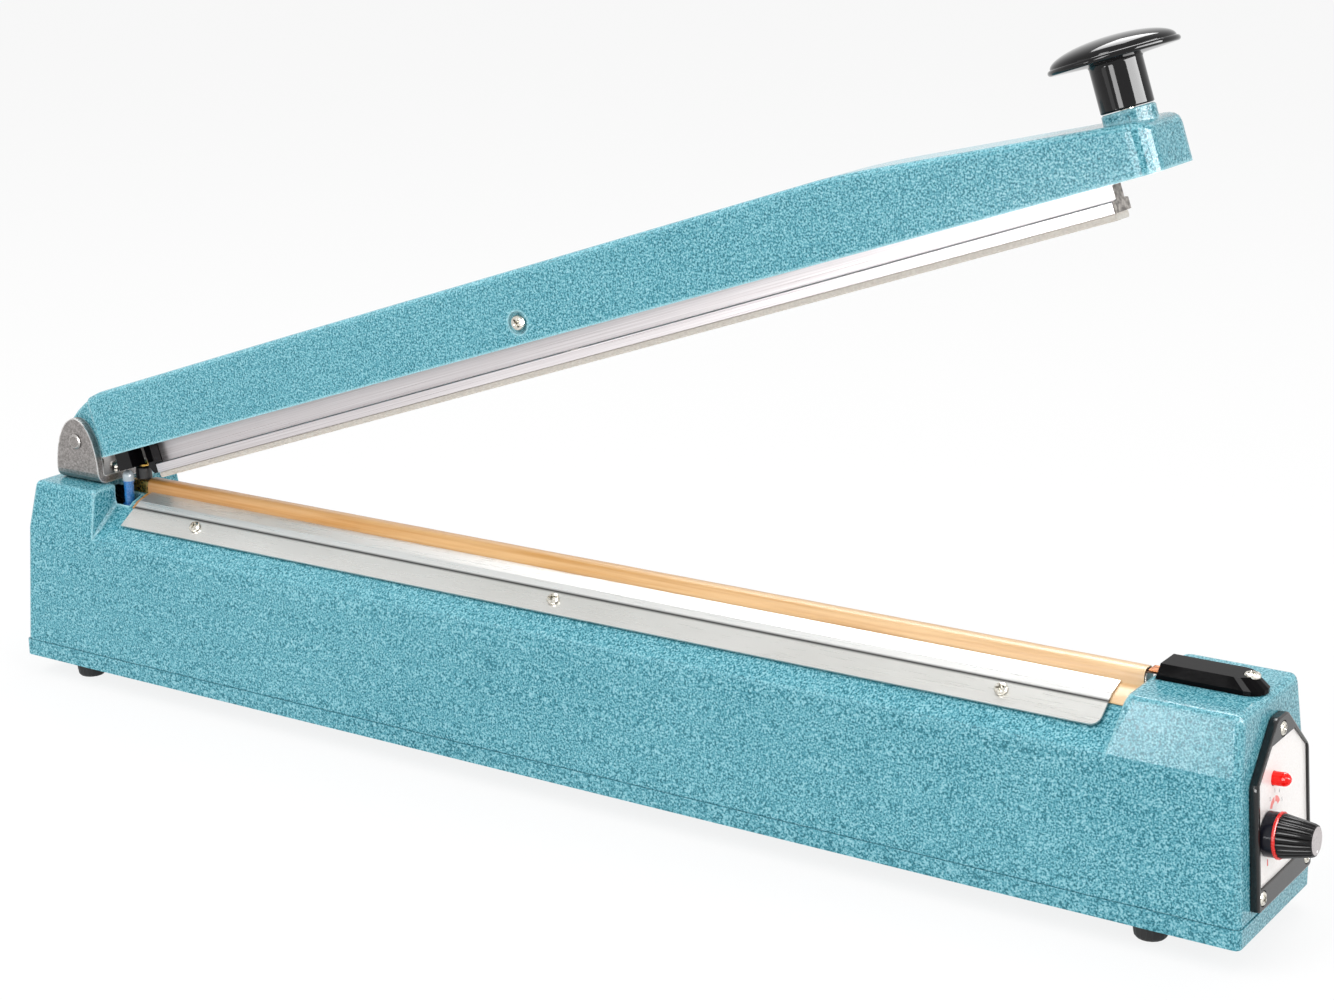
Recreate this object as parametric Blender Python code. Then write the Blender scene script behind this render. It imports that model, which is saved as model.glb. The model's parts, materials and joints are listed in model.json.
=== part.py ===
"""Impulse heat sealer: a long cast base with a sealing jaw, and a hinged pressure arm.

Metres, +Z up, +X towards the control end, -Y towards the user's side. The bench is z = 0.
Every piece is its own object, and touching pieces keep the running gap GAP between them.
"""
import math

import bmesh
import bpy
from mathutils import Matrix, Vector

# ---------------------------------------------------------------- driving dimensions
GAP = 0.0003                 # air left between two touching pieces
CUT = 0.002                  # how far a cutter runs past the face that it opens

# base: a pressed tray below a cast housing
BASE_LENGTH = 0.631
BASE_WIDTH = 0.073
TRAY_HEIGHT = 0.0078         # height of the tray's lip
TRAY_WALL = 0.0012
HOUSING_TOP = 0.088          # top of the two end blocks above the tray's underside
HOUSING_WALL = 0.003
HOUSING_INSET = 0.0005       # housing wall behind the tray's lip
CREASE_HEIGHT = 0.0646       # where the long wall breaks into the roof
SIDE_LEAN = 0.0040           # lean of each long wall up to the crease
SIDE_LEAN_ABOVE = 0.0036     # and from the crease to the top
LEFT_LEAN = 0.0018           # lean of the left end wall up to the crease
LEFT_LEAN_ABOVE = 0.0037
RIGHT_LEAN = 0.0055          # lean of the flat right end wall over its whole height
ROOF_HEIGHT = 0.0825         # flat top of the roof below the jaw
ROOF_SHOULDER = 0.0052       # half width of the flat part of the roof
ROOF_KNEE_DROP = 0.0023      # how far the roof falls from the flat to the knee
ROOF_KNEE = 0.0120           # half width at the knee, where the steep slope starts
LEFT_BLOCK = 0.0457          # length of the hinge block at its top
RIGHT_BLOCK = 0.0518         # length of the control block at its top
LEFT_STEP = 0.0006           # run of the hinge block's inner wall
RIGHT_STEP = 0.0057          # run of the control block's inner wall
CORNER_ROUND = 0.0030        # plan radius of the housing's corners
TRAY_ROUND = 0.0024          # plan radius of the tray's corners
TOP_ROUND = 0.0022           # radius along the top edges of the blocks

# feet
FOOT_HEIGHT = 0.0102
FOOT_TOP_RADIUS = 0.0078
FOOT_END_RADIUS = 0.0066
FOOT_INSET_LEFT = 0.0274
FOOT_INSET_RIGHT = 0.0413
FOOT_INSET_Y = 0.0163
FOOT_RECESS = 0.0048         # depth of the screw's recess
FOOT_RECESS_RADIUS = 0.0040

# screws
M3_SHANK = 0.0015
M3_HEAD = 0.0028
M3_HEAD_HEIGHT = 0.0018
M4_SHANK = 0.0020
M4_HEAD = 0.0036
M4_HEAD_HEIGHT = 0.0024
LUG_WIDTH = 0.010
LUG_HEIGHT = 0.016
LUG_DEPTH = 0.013

# hinge
PIN_X = 0.0270               # from the base's left end
PIN_HEIGHT = 0.1083          # above the tray's underside
PIN_RADIUS = 0.0025
PIN_HEAD_RADIUS = 0.0036
PIN_HEAD_HEIGHT = 0.0009
BRACKET_HALF_WIDTH = 0.0195
BRACKET_WALL = 0.0038
BRACKET_BEND = 0.0052        # outer bend radius
BRACKET_HALF_LENGTH = 0.0139
BRACKET_EAR_TOP = 0.0114     # ear above the pin
OPEN_ANGLE = math.radians(18.5)

# arm: along u from the pin, v square to it
ARM_HALF_WIDTH = 0.0198
ARM_BOTTOM = -0.0110
ARM_TOP = 0.0200
ARM_WALL = 0.0028
ARM_REAR = -0.0095           # rear end of the tongue
ARM_SHOULDER = 0.0146        # where the tongue widens to the full arm
ARM_TAPER_START = 0.450
ARM_TAPER = 0.095            # fall of the top edge per unit of length
ARM_LENGTH = 0.5785          # pin to nose
ARM_NOSE_ROUND = 0.0080
ARM_NOSE_DROP = 0.0034       # how far the nose's upper edge is rounded off
ARM_TOP_ROUND = 0.0026
ARM_CAVITY_START = 0.0275
ARM_CAVITY_END = 0.5580
BOSS_RADIUS = 0.0101
BOSS_TOP = 0.0133

# handle
HANDLE_U = 0.5653
STEM_RADIUS = 0.0099
STEM_TOP = 0.0308
CAP_RADIUS = 0.0245
CAP_HEIGHT = 0.0085
CAP_RIM = 0.0022
HANDLE_BOLT_RADIUS = 0.0030

# pressure bar: hangs in the arm on one screw and rocks on it
BAR_PIVOT_U = 0.2830
BAR_PIVOT_V = -0.0019
BAR_START = 0.0345
BAR_END = 0.5524
BAR_REST_TILT = math.radians(0.38)   # how far the bar lies askew in the raised arm
BAR_WEB_HALF = 0.0012
BAR_FLANGE_HALF = 0.0062
BAR_TOP = 0.0035
BAR_WEB_BOTTOM = -0.0191
BAR_FLANGE_BOTTOM = -0.0236
BAR_LIP = 0.0012             # walls of the channel that holds the rubber
RUBBER_HALF = 0.0054
RUBBER_BOTTOM = -0.0264
END_BLOCK_START = 0.0296
BLOCK_TOP = -0.0035
CLIP = 0.0008                # end plate of the bar
CLIP_HALF = 0.0030
CLIP_TOP = -0.0135
PIVOT_SCREW_RADIUS = 0.0020
PIVOT_HEAD_RADIUS = 0.0034
PIVOT_WELL_RADIUS = 0.0050
PAD_START = 0.0168           # pad under the arm that works the push rod
PAD_END = 0.0262
PAD_BOTTOM = -0.0197
PAD_HALF = 0.0044

# jaw
JAW_START = 0.0590
JAW_END = 0.5765
JAW_HALF = 0.0035
JAW_TOP = 0.0880
STRIP = 0.0003               # insulating strip
RIBBON = 0.00018             # heating element
RIBBON_HALF = 0.0015
CLOTH = 0.0004
CLOTH_LEAD = 0.0010
CLOTH_TAIL = 0.0006
CLOTH_FALL = 0.0150          # half width at which the cloth's edge ends

# cover plates that clamp the cloth
PLATE_START = 0.0595
PLATE_END = 0.5670
PLATE = 0.0009
PLATE_UPPER_HALF = 0.0051    # inner edge of the upper strip
PLATE_LOWER_HALF = 0.0240    # outer edge of the lower strip
PLATE_SCREWS = (0.1030, 0.3110, 0.5240)
PLATE_SCREW_HALF = 0.0186    # half width at which the screws sit
PLATE_LEAD = 0.0025          # slant of the plate's left end

# electrodes
POST_X = 0.0520
POST_RADIUS = 0.0034
BOOT_RADIUS = 0.0039
BOOT_HEIGHT = 0.0058
NUT_RADIUS = 0.0029
NUT_HEIGHT = 0.0020
COVER_START = 0.5816
COVER_END = 0.6236
COVER_HALF = 0.0072
COVER_TOP_HALF = 0.0063
COVER_SIDE = 0.0017
COVER_HEIGHT = 0.0062
COVER_LEAD = 0.0016
COVER_NOSE = 0.0052          # slope of the cover's round end
COVER_SCREW_X = 0.6171
COVER_SCREW_HEAD = 0.0032
COPPER_START = 0.5772
COPPER_END = 0.6060
COPPER_HALF = 0.0030
COPPER = 0.0005

# push rod that the arm presses
ROD_X = 0.0503
ROD_Y = -0.0090
ROD_RADIUS = 0.0014
SLEEVE_RADIUS = 0.0024
SLEEVE_LENGTH = 0.0150
COLLAR_RADIUS = 0.0028
ROD_LENGTH = 0.0400
SPRING_RADIUS = 0.0031
SPRING_WIRE = 0.00045
SPRING_TURNS = 6
SHELF = 0.0025               # thickness of the two shelves cast into the hinge block
SHELF_START = 0.0400
SHELF_END = 0.0620
GUIDE_TOP = 0.0620           # top of the shelf that guides the rod
SWITCH = (0.0198, 0.0064, 0.0102)
SWITCH_TRAVEL = 0.0008
BUTTON_RADIUS = 0.0012
BUTTON_STAND = 0.0016        # button above the switch when free
SLOT_START = 0.0385
SLOT_END = 0.0550
SLOT_FRONT = -0.0140
SLOT_BACK = -0.0045
SLOT_DEPTH = 0.0115           # slot below the roof's flat top

# control panel on the right end
BEZEL_Y = 0.0018             # the panel sits a little behind the centre line
BEZEL_DEPTH = 0.0034
BEZEL_RECESS = 0.0012
BEZEL_BOTTOM = 0.0110
BEZEL_SHOULDER = 0.0604
BEZEL_TOP = 0.0801
BEZEL_HALF = 0.0272
BEZEL_SHOULDER_HALF = 0.0266
BEZEL_TOP_HALF = 0.0052
BEZEL_RIM = 0.0018
BEZEL_CORNER = 0.0018
BEZEL_SCREWS = (("top", 0.0, 0.0748), ("front", -0.0228, 0.0158), ("rear", 0.0228, 0.0158))
BEZEL_STRIP = 0.0195         # top of the plain strip along the bottom
BEZEL_CROWN = 0.0715         # bottom of the plain part round the top screw
KNOB_Y = -0.0140
KNOB_Z = 0.0388
KNOB_SKIRT = 0.0086
KNOB_RING = 0.0090
KNOB_GRIP = 0.0084
KNOB_TIP = 0.0062
KNOB_LENGTH = 0.0190
KNOB_FLUTES = 18
KNOB_RING_START = 0.0012
KNOB_RING_WIDTH = 0.0016
SHAFT_RADIUS = 0.0030
LAMP_Y = -0.0065
LAMP_Z = 0.0580
LAMP_RADIUS = 0.0027
LAMP_LENGTH = 0.0070

# inside the base
TRANSFORMER_X = 0.430
CORE = (0.056, 0.020, 0.048)
COIL = (0.034, 0.044, 0.030)
BOARD = (0.0016, 0.046, 0.040)
POT_RADIUS = 0.0085
POT_DEPTH = 0.0085
GLAND_X = 0.574
GLAND_Z = 0.024
GLAND_RADIUS = 0.0070
GLAND_BORE = 0.0034
GLAND_REACH = 0.0050

# ---------------------------------------------------------------- worked out from them
KNOB_REACH = BEZEL_DEPTH - BEZEL_RECESS + GAP + KNOB_LENGTH - RIGHT_LEAN * KNOB_Z / HOUSING_TOP
PANEL_TILT = math.atan2(RIGHT_LEAN, HOUSING_TOP - TRAY_HEIGHT)
JAW_STACK = JAW_TOP + STRIP + RIBBON + CLOTH + 3 * GAP
CLOSED_TILT = math.asin((JAW_STACK + GAP - PIN_HEIGHT - RUBBER_BOTTOM) / BAR_PIVOT_U)
CLOSING = OPEN_ANGLE - CLOSED_TILT


def bench(height):
    """World height of a level that is measured from the tray's underside."""
    return FOOT_HEIGHT + height


def along(distance):
    """World X of a point that is measured from the base's left end."""
    return distance - (BASE_LENGTH + KNOB_REACH) / 2


# ---------------------------------------------------------------- materials
def material(name, colour, roughness, metallic=0.0):
    made = bpy.data.materials.new(name)
    made.use_nodes = True
    shader = made.node_tree.nodes["Principled BSDF"]
    shader.inputs["Base Color"].default_value = (*colour, 1.0)
    shader.inputs["Roughness"].default_value = roughness
    shader.inputs["Metallic"].default_value = metallic
    return made


# ---------------------------------------------------------------- mesh helpers
def finish_mesh(name, shape, look, parent=None, sharp=32):
    """Turn a bmesh into an object with outward faces and smooth round sides."""
    bmesh.ops.recalc_face_normals(shape, faces=shape.faces)
    mesh = bpy.data.meshes.new(name)
    shape.to_mesh(mesh)
    shape.free()
    mesh.shade_smooth()
    mesh.set_sharp_from_angle(angle=math.radians(sharp))
    piece = bpy.data.objects.new(name, mesh)
    bpy.context.scene.collection.objects.link(piece)
    if look is not None:
        mesh.materials.append(look)
    if parent is not None:
        piece.parent = parent
    return piece


def frame_empty(name, place, tilt=0.0, parent=None):
    """An empty that carries pieces; tilt lifts its +X axis."""
    empty = bpy.data.objects.new(name, None)
    bpy.context.scene.collection.objects.link(empty)
    empty.location = place
    empty.rotation_euler = (0.0, -tilt, 0.0)
    empty.parent = parent
    return empty


def rings_shape(rings):
    """A closed skin through rings of equal length, with a flat cap at each end."""
    shape = bmesh.new()
    rows = [[shape.verts.new(point) for point in ring] for ring in rings]
    count = len(rows[0])
    for lower, upper in zip(rows, rows[1:]):
        for i in range(count):
            j = (i + 1) % count
            shape.faces.new((lower[i], lower[j], upper[j], upper[i]))
    shape.faces.new(list(reversed(rows[0])))
    shape.faces.new(rows[-1])
    return shape


def prism(outline, low, high, axis):
    """Extrude a flat outline between two levels of one axis."""
    def place(point, level):
        first, second = point
        return {"x": (level, first, second), "y": (first, level, second),
                "z": (first, second, level)}[axis]
    return rings_shape([[place(p, low) for p in outline], [place(p, high) for p in outline]])


def block(low, high):
    outline = [(low[0], low[1]), (high[0], low[1]), (high[0], high[1]), (low[0], high[1])]
    return prism(outline, low[2], high[2], "z")


def turned(profile, segments, axis="z", centre=(0.0, 0.0, 0.0)):
    """Turn a profile of (radius, level) pairs about an axis; a radius of 0 closes an end."""
    shape = bmesh.new()
    rows = []
    for radius, level in profile:
        if radius == 0.0:
            rows.append([shape.verts.new((0.0, 0.0, level))])
            continue
        rows.append([shape.verts.new((radius * math.cos(2 * math.pi * k / segments),
                                      radius * math.sin(2 * math.pi * k / segments), level))
                     for k in range(segments)])
    for lower, upper in zip(rows, rows[1:]):
        for k in range(segments):
            j = (k + 1) % segments
            corners = [lower[k % len(lower)], lower[j % len(lower)],
                       upper[j % len(upper)], upper[k % len(upper)]]
            shape.faces.new(list(dict.fromkeys(corners)))
    for row, level in ((rows[0], 0), (rows[-1], -1)):
        if len(row) > 1:
            shape.faces.new(row)
    turn = {"x": Matrix.Rotation(math.pi / 2, 4, "Y"), "y": Matrix.Rotation(-math.pi / 2, 4, "X"),
            "z": Matrix.Identity(4)}[axis]
    bmesh.ops.transform(shape, matrix=Matrix.Translation(centre) @ turn, verts=shape.verts)
    return shape


def cutter(name, shape, parent=None):
    made = finish_mesh(name, shape, None, parent)
    made.hide_render = True
    made.display_type = "WIRE"
    return made


def combine(piece, other, operation):
    boolean = piece.modifiers.new(other.name, "BOOLEAN")
    boolean.operation = operation
    boolean.object = other


def cut(piece, name, shape, parent=None):
    combine(piece, cutter(name, shape, parent), "DIFFERENCE")


def add(piece, name, shape, parent=None):
    combine(piece, cutter(name, shape, parent), "UNION")


def arc(centre, radius, start, end, steps):
    """Points of an arc, in degrees, with both ends."""
    return [(centre[0] + radius * math.cos(math.radians(start + (end - start) * k / steps)),
             centre[1] + radius * math.sin(math.radians(start + (end - start) * k / steps)))
            for k in range(steps + 1)]


# ---------------------------------------------------------------- housing
def lean(height, lower, upper):
    """Lean of a wall at a height; it breaks at the crease."""
    below = (height - TRAY_HEIGHT) / (CREASE_HEIGHT - TRAY_HEIGHT)
    above = (height - CREASE_HEIGHT) / (HOUSING_TOP - CREASE_HEIGHT)
    return lower * min(1.0, below) + upper * max(0.0, above)


def wall_half(height, inset=0.0):
    """Half width of the housing at a height, drawn in by inset."""
    return BASE_WIDTH / 2 - HOUSING_INSET - lean(height, SIDE_LEAN, SIDE_LEAN_ABOVE) - inset


def left_lean(height):
    return HOUSING_INSET + lean(height, LEFT_LEAN, LEFT_LEAN_ABOVE)


def right_lean(height):
    return HOUSING_INSET + RIGHT_LEAN * (height - TRAY_HEIGHT) / (HOUSING_TOP - TRAY_HEIGHT)


CREASE_HALF = wall_half(CREASE_HEIGHT)
KNEE_HEIGHT = ROOF_HEIGHT - ROOF_KNEE_DROP
ROOF_SLOPE = math.atan2(KNEE_HEIGHT - CREASE_HEIGHT, CREASE_HALF - ROOF_KNEE)


def roof_height(half):
    """Height of the saddle's roof at a distance from the centre line."""
    if half <= ROOF_SHOULDER:
        return ROOF_HEIGHT
    if half <= ROOF_KNEE:
        return ROOF_HEIGHT - ROOF_KNEE_DROP * (half - ROOF_SHOULDER) / (ROOF_KNEE - ROOF_SHOULDER)
    return KNEE_HEIGHT - (half - ROOF_KNEE) * math.tan(ROOF_SLOPE)


def block_section(inset):
    """Half of an end block's section, bottom to top centre, drawn in by inset."""
    foot = TRAY_HEIGHT + GAP
    top = HOUSING_TOP - inset
    corner = wall_half(top - TOP_ROUND, inset) - TOP_ROUND
    levels = (foot, CREASE_HEIGHT - 0.0012, CREASE_HEIGHT, CREASE_HEIGHT + 0.004)
    points = [(wall_half(level, inset), level) for level in levels]
    points += arc((corner, top - TOP_ROUND), TOP_ROUND, 0, 90, 4)
    points += [(corner * 0.6, top), (corner * 0.3, top), (0.0, top)]
    return points


def saddle_section():
    """The same half section between the blocks, under the jaw."""
    foot = TRAY_HEIGHT + GAP
    low = CREASE_HEIGHT - 0.0012
    points = [(wall_half(foot), foot), (wall_half(low), low),
              (wall_half(CREASE_HEIGHT) - 0.0003, CREASE_HEIGHT - 0.0001)]
    halves = [CREASE_HALF - 0.0015]
    halves += [CREASE_HALF + (ROOF_KNEE - CREASE_HALF) * t for t in (0.25, 0.5, 0.75)]
    halves += [ROOF_KNEE, ROOF_SHOULDER, ROOF_SHOULDER * 0.6, ROOF_SHOULDER * 0.3, 0.0]
    points += [(half, roof_height(half)) for half in halves]
    return points


def full_ring(half_section, x_of):
    """Mirror a half section about the centre line and place it along X."""
    front = [(x_of(z), -y, bench(z)) for y, z in half_section]
    back = [(x_of(z), y, bench(z)) for y, z in reversed(half_section[:-1])]
    return front + back


def step_rings(blocks, saddle, top, run, side):
    """Rings down the inner wall of an end block; side is the way that it falls away along X."""
    rings = []
    for mix, back in ((0.0, 0.0030), (0.03, 0.0010), (0.12, 0.0), (0.92, 0.0), (1.0, -0.0008)):
        mixed = [(a[0] + (b[0] - a[0]) * mix, a[1] + (b[1] - a[1]) * mix)
                 for a, b in zip(blocks, saddle)]

        def place(z, back=back):
            fall = min(1.0, (HOUSING_TOP - z) / (HOUSING_TOP - CREASE_HEIGHT))
            return along(top + side * (run * fall - back))
        rings.append(full_ring(mixed, place))
    return rings


def make_housing(look):
    blocks = block_section(0.0)
    saddle = saddle_section()
    rings = []
    round_steps = 4
    for k in range(round_steps):
        turn = math.pi / 2 * k / round_steps
        inset = CORNER_ROUND * (1 - math.sin(turn))
        run = CORNER_ROUND * (1 - math.cos(turn))
        rings.append(full_ring(block_section(inset), lambda z, run=run: along(run + left_lean(z))))
    rings.append(full_ring(blocks, lambda z: along(CORNER_ROUND + left_lean(z))))
    rings += step_rings(blocks, saddle, LEFT_BLOCK, LEFT_STEP, 1)
    rings += reversed(step_rings(blocks, saddle, BASE_LENGTH - RIGHT_BLOCK, RIGHT_STEP, -1))
    rings.append(full_ring(blocks, lambda z: along(BASE_LENGTH - CORNER_ROUND - right_lean(z))))
    for k in reversed(range(round_steps)):
        turn = math.pi / 2 * k / round_steps
        inset = CORNER_ROUND * (1 - math.sin(turn))
        run = CORNER_ROUND * (1 - math.cos(turn))
        rings.append(full_ring(block_section(inset),
                               lambda z, run=run: along(BASE_LENGTH - run - right_lean(z))))
    housing = finish_mesh("housing", rings_shape(rings), look, sharp=28)
    hollow_housing(housing)
    return housing


def hollow_ring(half_section, x_of):
    """A full ring through a half section, for a cutter."""
    front = [(x_of(z), -y, bench(z)) for y, z in half_section]
    back = [(x_of(z), y, bench(z)) for y, z in reversed(half_section)]
    return front + back


def hollow_housing(housing):
    """Open the housing from below: one hollow under the roof and one up each end block."""
    wall = HOUSING_WALL
    low = TRAY_HEIGHT - CUT
    crease = CREASE_HEIGHT - wall * 0.4
    slope_wall = wall / math.cos(ROOF_SLOPE)
    roof = [(wall_half(low) - wall, low), (wall_half(crease) - wall, crease),
            (ROOF_KNEE, roof_height(ROOF_KNEE) - slope_wall), (ROOF_SHOULDER, ROOF_HEIGHT - wall)]

    def left_end(z):
        return along(wall + left_lean(z))

    def right_end(z):
        return along(BASE_LENGTH - wall - right_lean(z))

    cut(housing, "hollow_cut", rings_shape([hollow_ring(roof, left_end), hollow_ring(roof, right_end)]))
    low = CREASE_HEIGHT - 0.020
    top = HOUSING_TOP - wall
    tall = [(wall_half(top) - wall - GAP, low), (wall_half(top) - wall - GAP, top)]
    for tag, start, end in (("left", wall + left_lean(HOUSING_TOP), LEFT_BLOCK - wall),
                            ("right", BASE_LENGTH - RIGHT_BLOCK + wall,
                             BASE_LENGTH - wall - right_lean(HOUSING_TOP))):
        cut(housing, tag + "_block_cut",
            rings_shape([hollow_ring(tall, lambda _, x=x: along(x)) for x in (start, end)]))


def foot_places():
    """Centre of each foot, with the name of its corner."""
    for side, depth in (("front", -1), ("rear", 1)):
        for end, x in (("left", FOOT_INSET_LEFT), ("right", BASE_LENGTH - FOOT_INSET_RIGHT)):
            yield f"{side}_{end}", along(x), depth * (BASE_WIDTH / 2 - FOOT_INSET_Y), depth


def add_lugs(housing):
    """Lugs in the four corners that take the foot screws."""
    top = TRAY_HEIGHT + LUG_HEIGHT
    for corner, x, y, depth in foot_places():
        outer = wall_half(top) - HOUSING_WALL / 2
        sides = sorted((depth * outer, depth * (outer - LUG_DEPTH)))
        add(housing, "lug_" + corner, block((x - LUG_WIDTH / 2, sides[0], bench(TRAY_WALL + GAP)),
                                            (x + LUG_WIDTH / 2, sides[1], bench(top))))
        hole = [(M4_SHANK + GAP, bench(0.0)), (M4_SHANK + GAP, bench(top - 0.003))]
        cut(housing, "lug_hole_" + corner, turned(hole, 12, centre=(x, y, 0.0)))


def add_shelves(housing):
    """Two shelves on the front wall: one guides the push rod, one carries the switch."""
    for name, top in (("guide_shelf", GUIDE_TOP), ("switch_shelf", SWITCH_BASE - GAP)):
        wall = wall_half(top) - HOUSING_WALL / 2
        add(housing, name, block((along(SHELF_START), -wall, bench(top - SHELF)),
                                 (along(SHELF_END), ROD_Y + SWITCH[1] / 2 + 0.002, bench(top))))
    cut(housing, "guide_hole", turned([(ROD_RADIUS + GAP, bench(GUIDE_TOP - SHELF - CUT)),
                                       (ROD_RADIUS + GAP, bench(GUIDE_TOP + CUT))], 12,
                                      centre=(along(ROD_X), ROD_Y, 0.0)))
    cut(housing, "rod_slot", block((along(SLOT_START), SLOT_FRONT, bench(ROOF_HEIGHT - SLOT_DEPTH)),
                                   (along(SLOT_END), SLOT_BACK, bench(HOUSING_TOP + CUT))))


# ---------------------------------------------------------------- base
def rounded_rectangle(half_x, half_y, radius, steps=3):
    points = []
    for x, y, start in ((1, 1, 0), (-1, 1, 90), (-1, -1, 180), (1, -1, 270)):
        points += arc((x * (half_x - radius), y * (half_y - radius)), radius, start, start + 90, steps)
    return points


def make_tray(look):
    middle = along(BASE_LENGTH / 2)
    shape = prism([(middle + x, y) for x, y in
                   rounded_rectangle(BASE_LENGTH / 2, BASE_WIDTH / 2, TRAY_ROUND)],
                  bench(0.0), bench(TRAY_HEIGHT), "z")
    tray = finish_mesh("base_tray", shape, look)
    inner = [(middle + x, y) for x, y in
             rounded_rectangle(BASE_LENGTH / 2 - TRAY_WALL, BASE_WIDTH / 2 - TRAY_WALL,
                               TRAY_ROUND - TRAY_WALL)]
    cut(tray, "tray_hollow", prism(inner, bench(TRAY_WALL), bench(TRAY_HEIGHT + CUT), "z"))
    for corner, x, y, _ in foot_places():
        cut(tray, "tray_hole_" + corner,
            turned([(M4_SHANK + GAP, bench(-CUT)), (M4_SHANK + GAP, bench(TRAY_WALL + CUT))], 12,
                   centre=(x, y, 0.0)))
    return tray


def pan_screw(head, head_height, shank, length):
    """Profile of a pan-head screw: its seat is at level 0, and the head stands above it."""
    return [(shank, -length), (shank, 0.0), (head, 0.0), (head, head_height * 0.45),
            (head * 0.86, head_height * 0.80), (head * 0.55, head_height), (0.0, head_height)]


def make_feet(rubber, steel):
    top = bench(0.0) - GAP
    for corner, x, y, _ in foot_places():
        profile = [(FOOT_RECESS_RADIUS, 0.0), (FOOT_END_RADIUS - 0.0008, 0.0), (FOOT_END_RADIUS, 0.0010),
                   (FOOT_TOP_RADIUS, top - 0.0015), (FOOT_TOP_RADIUS, top), (M4_SHANK + GAP, top),
                   (M4_SHANK + GAP, FOOT_RECESS), (FOOT_RECESS_RADIUS, FOOT_RECESS)]
        finish_mesh("foot_" + corner, tube_shape(profile, 18, centre=(x, y, 0.0)), rubber)
        length = bench(TRAY_HEIGHT + LUG_HEIGHT - 0.005) - FOOT_RECESS
        head = [(radius, FOOT_RECESS - GAP - level) for radius, level in
                pan_screw(M4_HEAD, M4_HEAD_HEIGHT, M4_SHANK, length)]
        finish_mesh("foot_screw_" + corner, turned(list(reversed(head)), 16, centre=(x, y, 0.0)), steel)


def tube_shape(profile, segments, axis="z", centre=(0.0, 0.0, 0.0)):
    """Turn a closed profile of (radius, level) pairs, none on the axis."""
    shape = bmesh.new()
    rows = [[shape.verts.new((radius * math.cos(2 * math.pi * k / segments),
                              radius * math.sin(2 * math.pi * k / segments), level))
             for k in range(segments)] for radius, level in profile]
    for i, row in enumerate(rows):
        following = rows[(i + 1) % len(rows)]
        for k in range(segments):
            j = (k + 1) % segments
            shape.faces.new((row[k], row[j], following[j], following[k]))
    turn = {"x": Matrix.Rotation(math.pi / 2, 4, "Y"), "y": Matrix.Rotation(-math.pi / 2, 4, "X"),
            "z": Matrix.Identity(4)}[axis]
    bmesh.ops.transform(shape, matrix=Matrix.Translation(centre) @ turn, verts=shape.verts)
    return shape


def offset_path(points, distance):
    """A path moved to its left by distance, with mitred corners."""
    moved = []
    for i, point in enumerate(points):
        here = Vector(point)
        normals = []
        if i > 0:
            step = (here - Vector(points[i - 1])).normalized()
            normals.append(Vector((-step.y, step.x)))
        if i < len(points) - 1:
            step = (Vector(points[i + 1]) - here).normalized()
            normals.append(Vector((-step.y, step.x)))
        mean = sum(normals, Vector((0.0, 0.0))).normalized()
        moved.append(tuple(here + mean * distance / mean.dot(normals[0])))
    return moved


def roof_path(start, end):
    """The roof's half section from start outwards to end, as (half width, height)."""
    halves = [start] + [half for half in (ROOF_SHOULDER, ROOF_KNEE) if start < half < end] + [end]
    return [(half, roof_height(half)) for half in halves]


def mirrored(half_path):
    """A full path from the front edge to the rear edge, through the centre line."""
    front = [(-half, bench(z)) for half, z in reversed(half_path)]
    back = [(half, bench(z)) for half, z in half_path if half > 0.0]
    return front + back


# ---------------------------------------------------------------- jaw
def make_jaw(aluminium, brown, nichrome, cloth_look):
    foot = ROOF_HEIGHT + GAP
    edge = 0.0010
    outline = [(-JAW_HALF, bench(foot)), (JAW_HALF, bench(foot)), (JAW_HALF, bench(JAW_TOP - edge)),
               (JAW_HALF - edge, bench(JAW_TOP)), (edge - JAW_HALF, bench(JAW_TOP)),
               (-JAW_HALF, bench(JAW_TOP - edge))]
    finish_mesh("jaw_bar", prism(outline, along(JAW_START), along(JAW_END), "x"), aluminium)
    strip = JAW_TOP + GAP
    finish_mesh("insulating_strip", block((along(JAW_START), edge - JAW_HALF, bench(strip)),
                                          (along(COPPER_END), JAW_HALF - edge, bench(strip + STRIP))), brown)
    ribbon = strip + STRIP + GAP
    finish_mesh("heating_ribbon",
                block((along(POST_X - POST_RADIUS), -RIBBON_HALF, bench(ribbon)),
                      (along(COPPER_END), RIBBON_HALF, bench(ribbon + RIBBON))), nichrome)
    side = JAW_HALF + GAP
    ridge = JAW_STACK - CLOTH
    inner = [(0.0, ridge), (RIBBON_HALF + edge / 2, ridge), (side - edge / 2, JAW_TOP + STRIP),
             (side, JAW_TOP - edge), (side, foot)]
    inner += offset_path(roof_path(side, CLOTH_FALL), GAP)[1:]
    outer = offset_path(inner, CLOTH)
    outer[0] = (0.0, outer[0][1])
    section = mirrored(outer) + list(reversed(mirrored(inner)))
    finish_mesh("jaw_cloth", prism(section, along(JAW_START - CLOTH_LEAD), along(JAW_END - CLOTH_TAIL), "x"),
                cloth_look)


def slope_frame(name, x, side):
    """An empty on the roof's slope, with local +Z square to it; side is -1 at the front."""
    empty = bpy.data.objects.new(name, None)
    bpy.context.scene.collection.objects.link(empty)
    empty.location = (along(x), side * PLATE_SCREW_HALF, bench(roof_height(PLATE_SCREW_HALF)))
    empty.rotation_euler = (-side * ROOF_SLOPE, 0.0, 0.0)
    return empty


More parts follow.
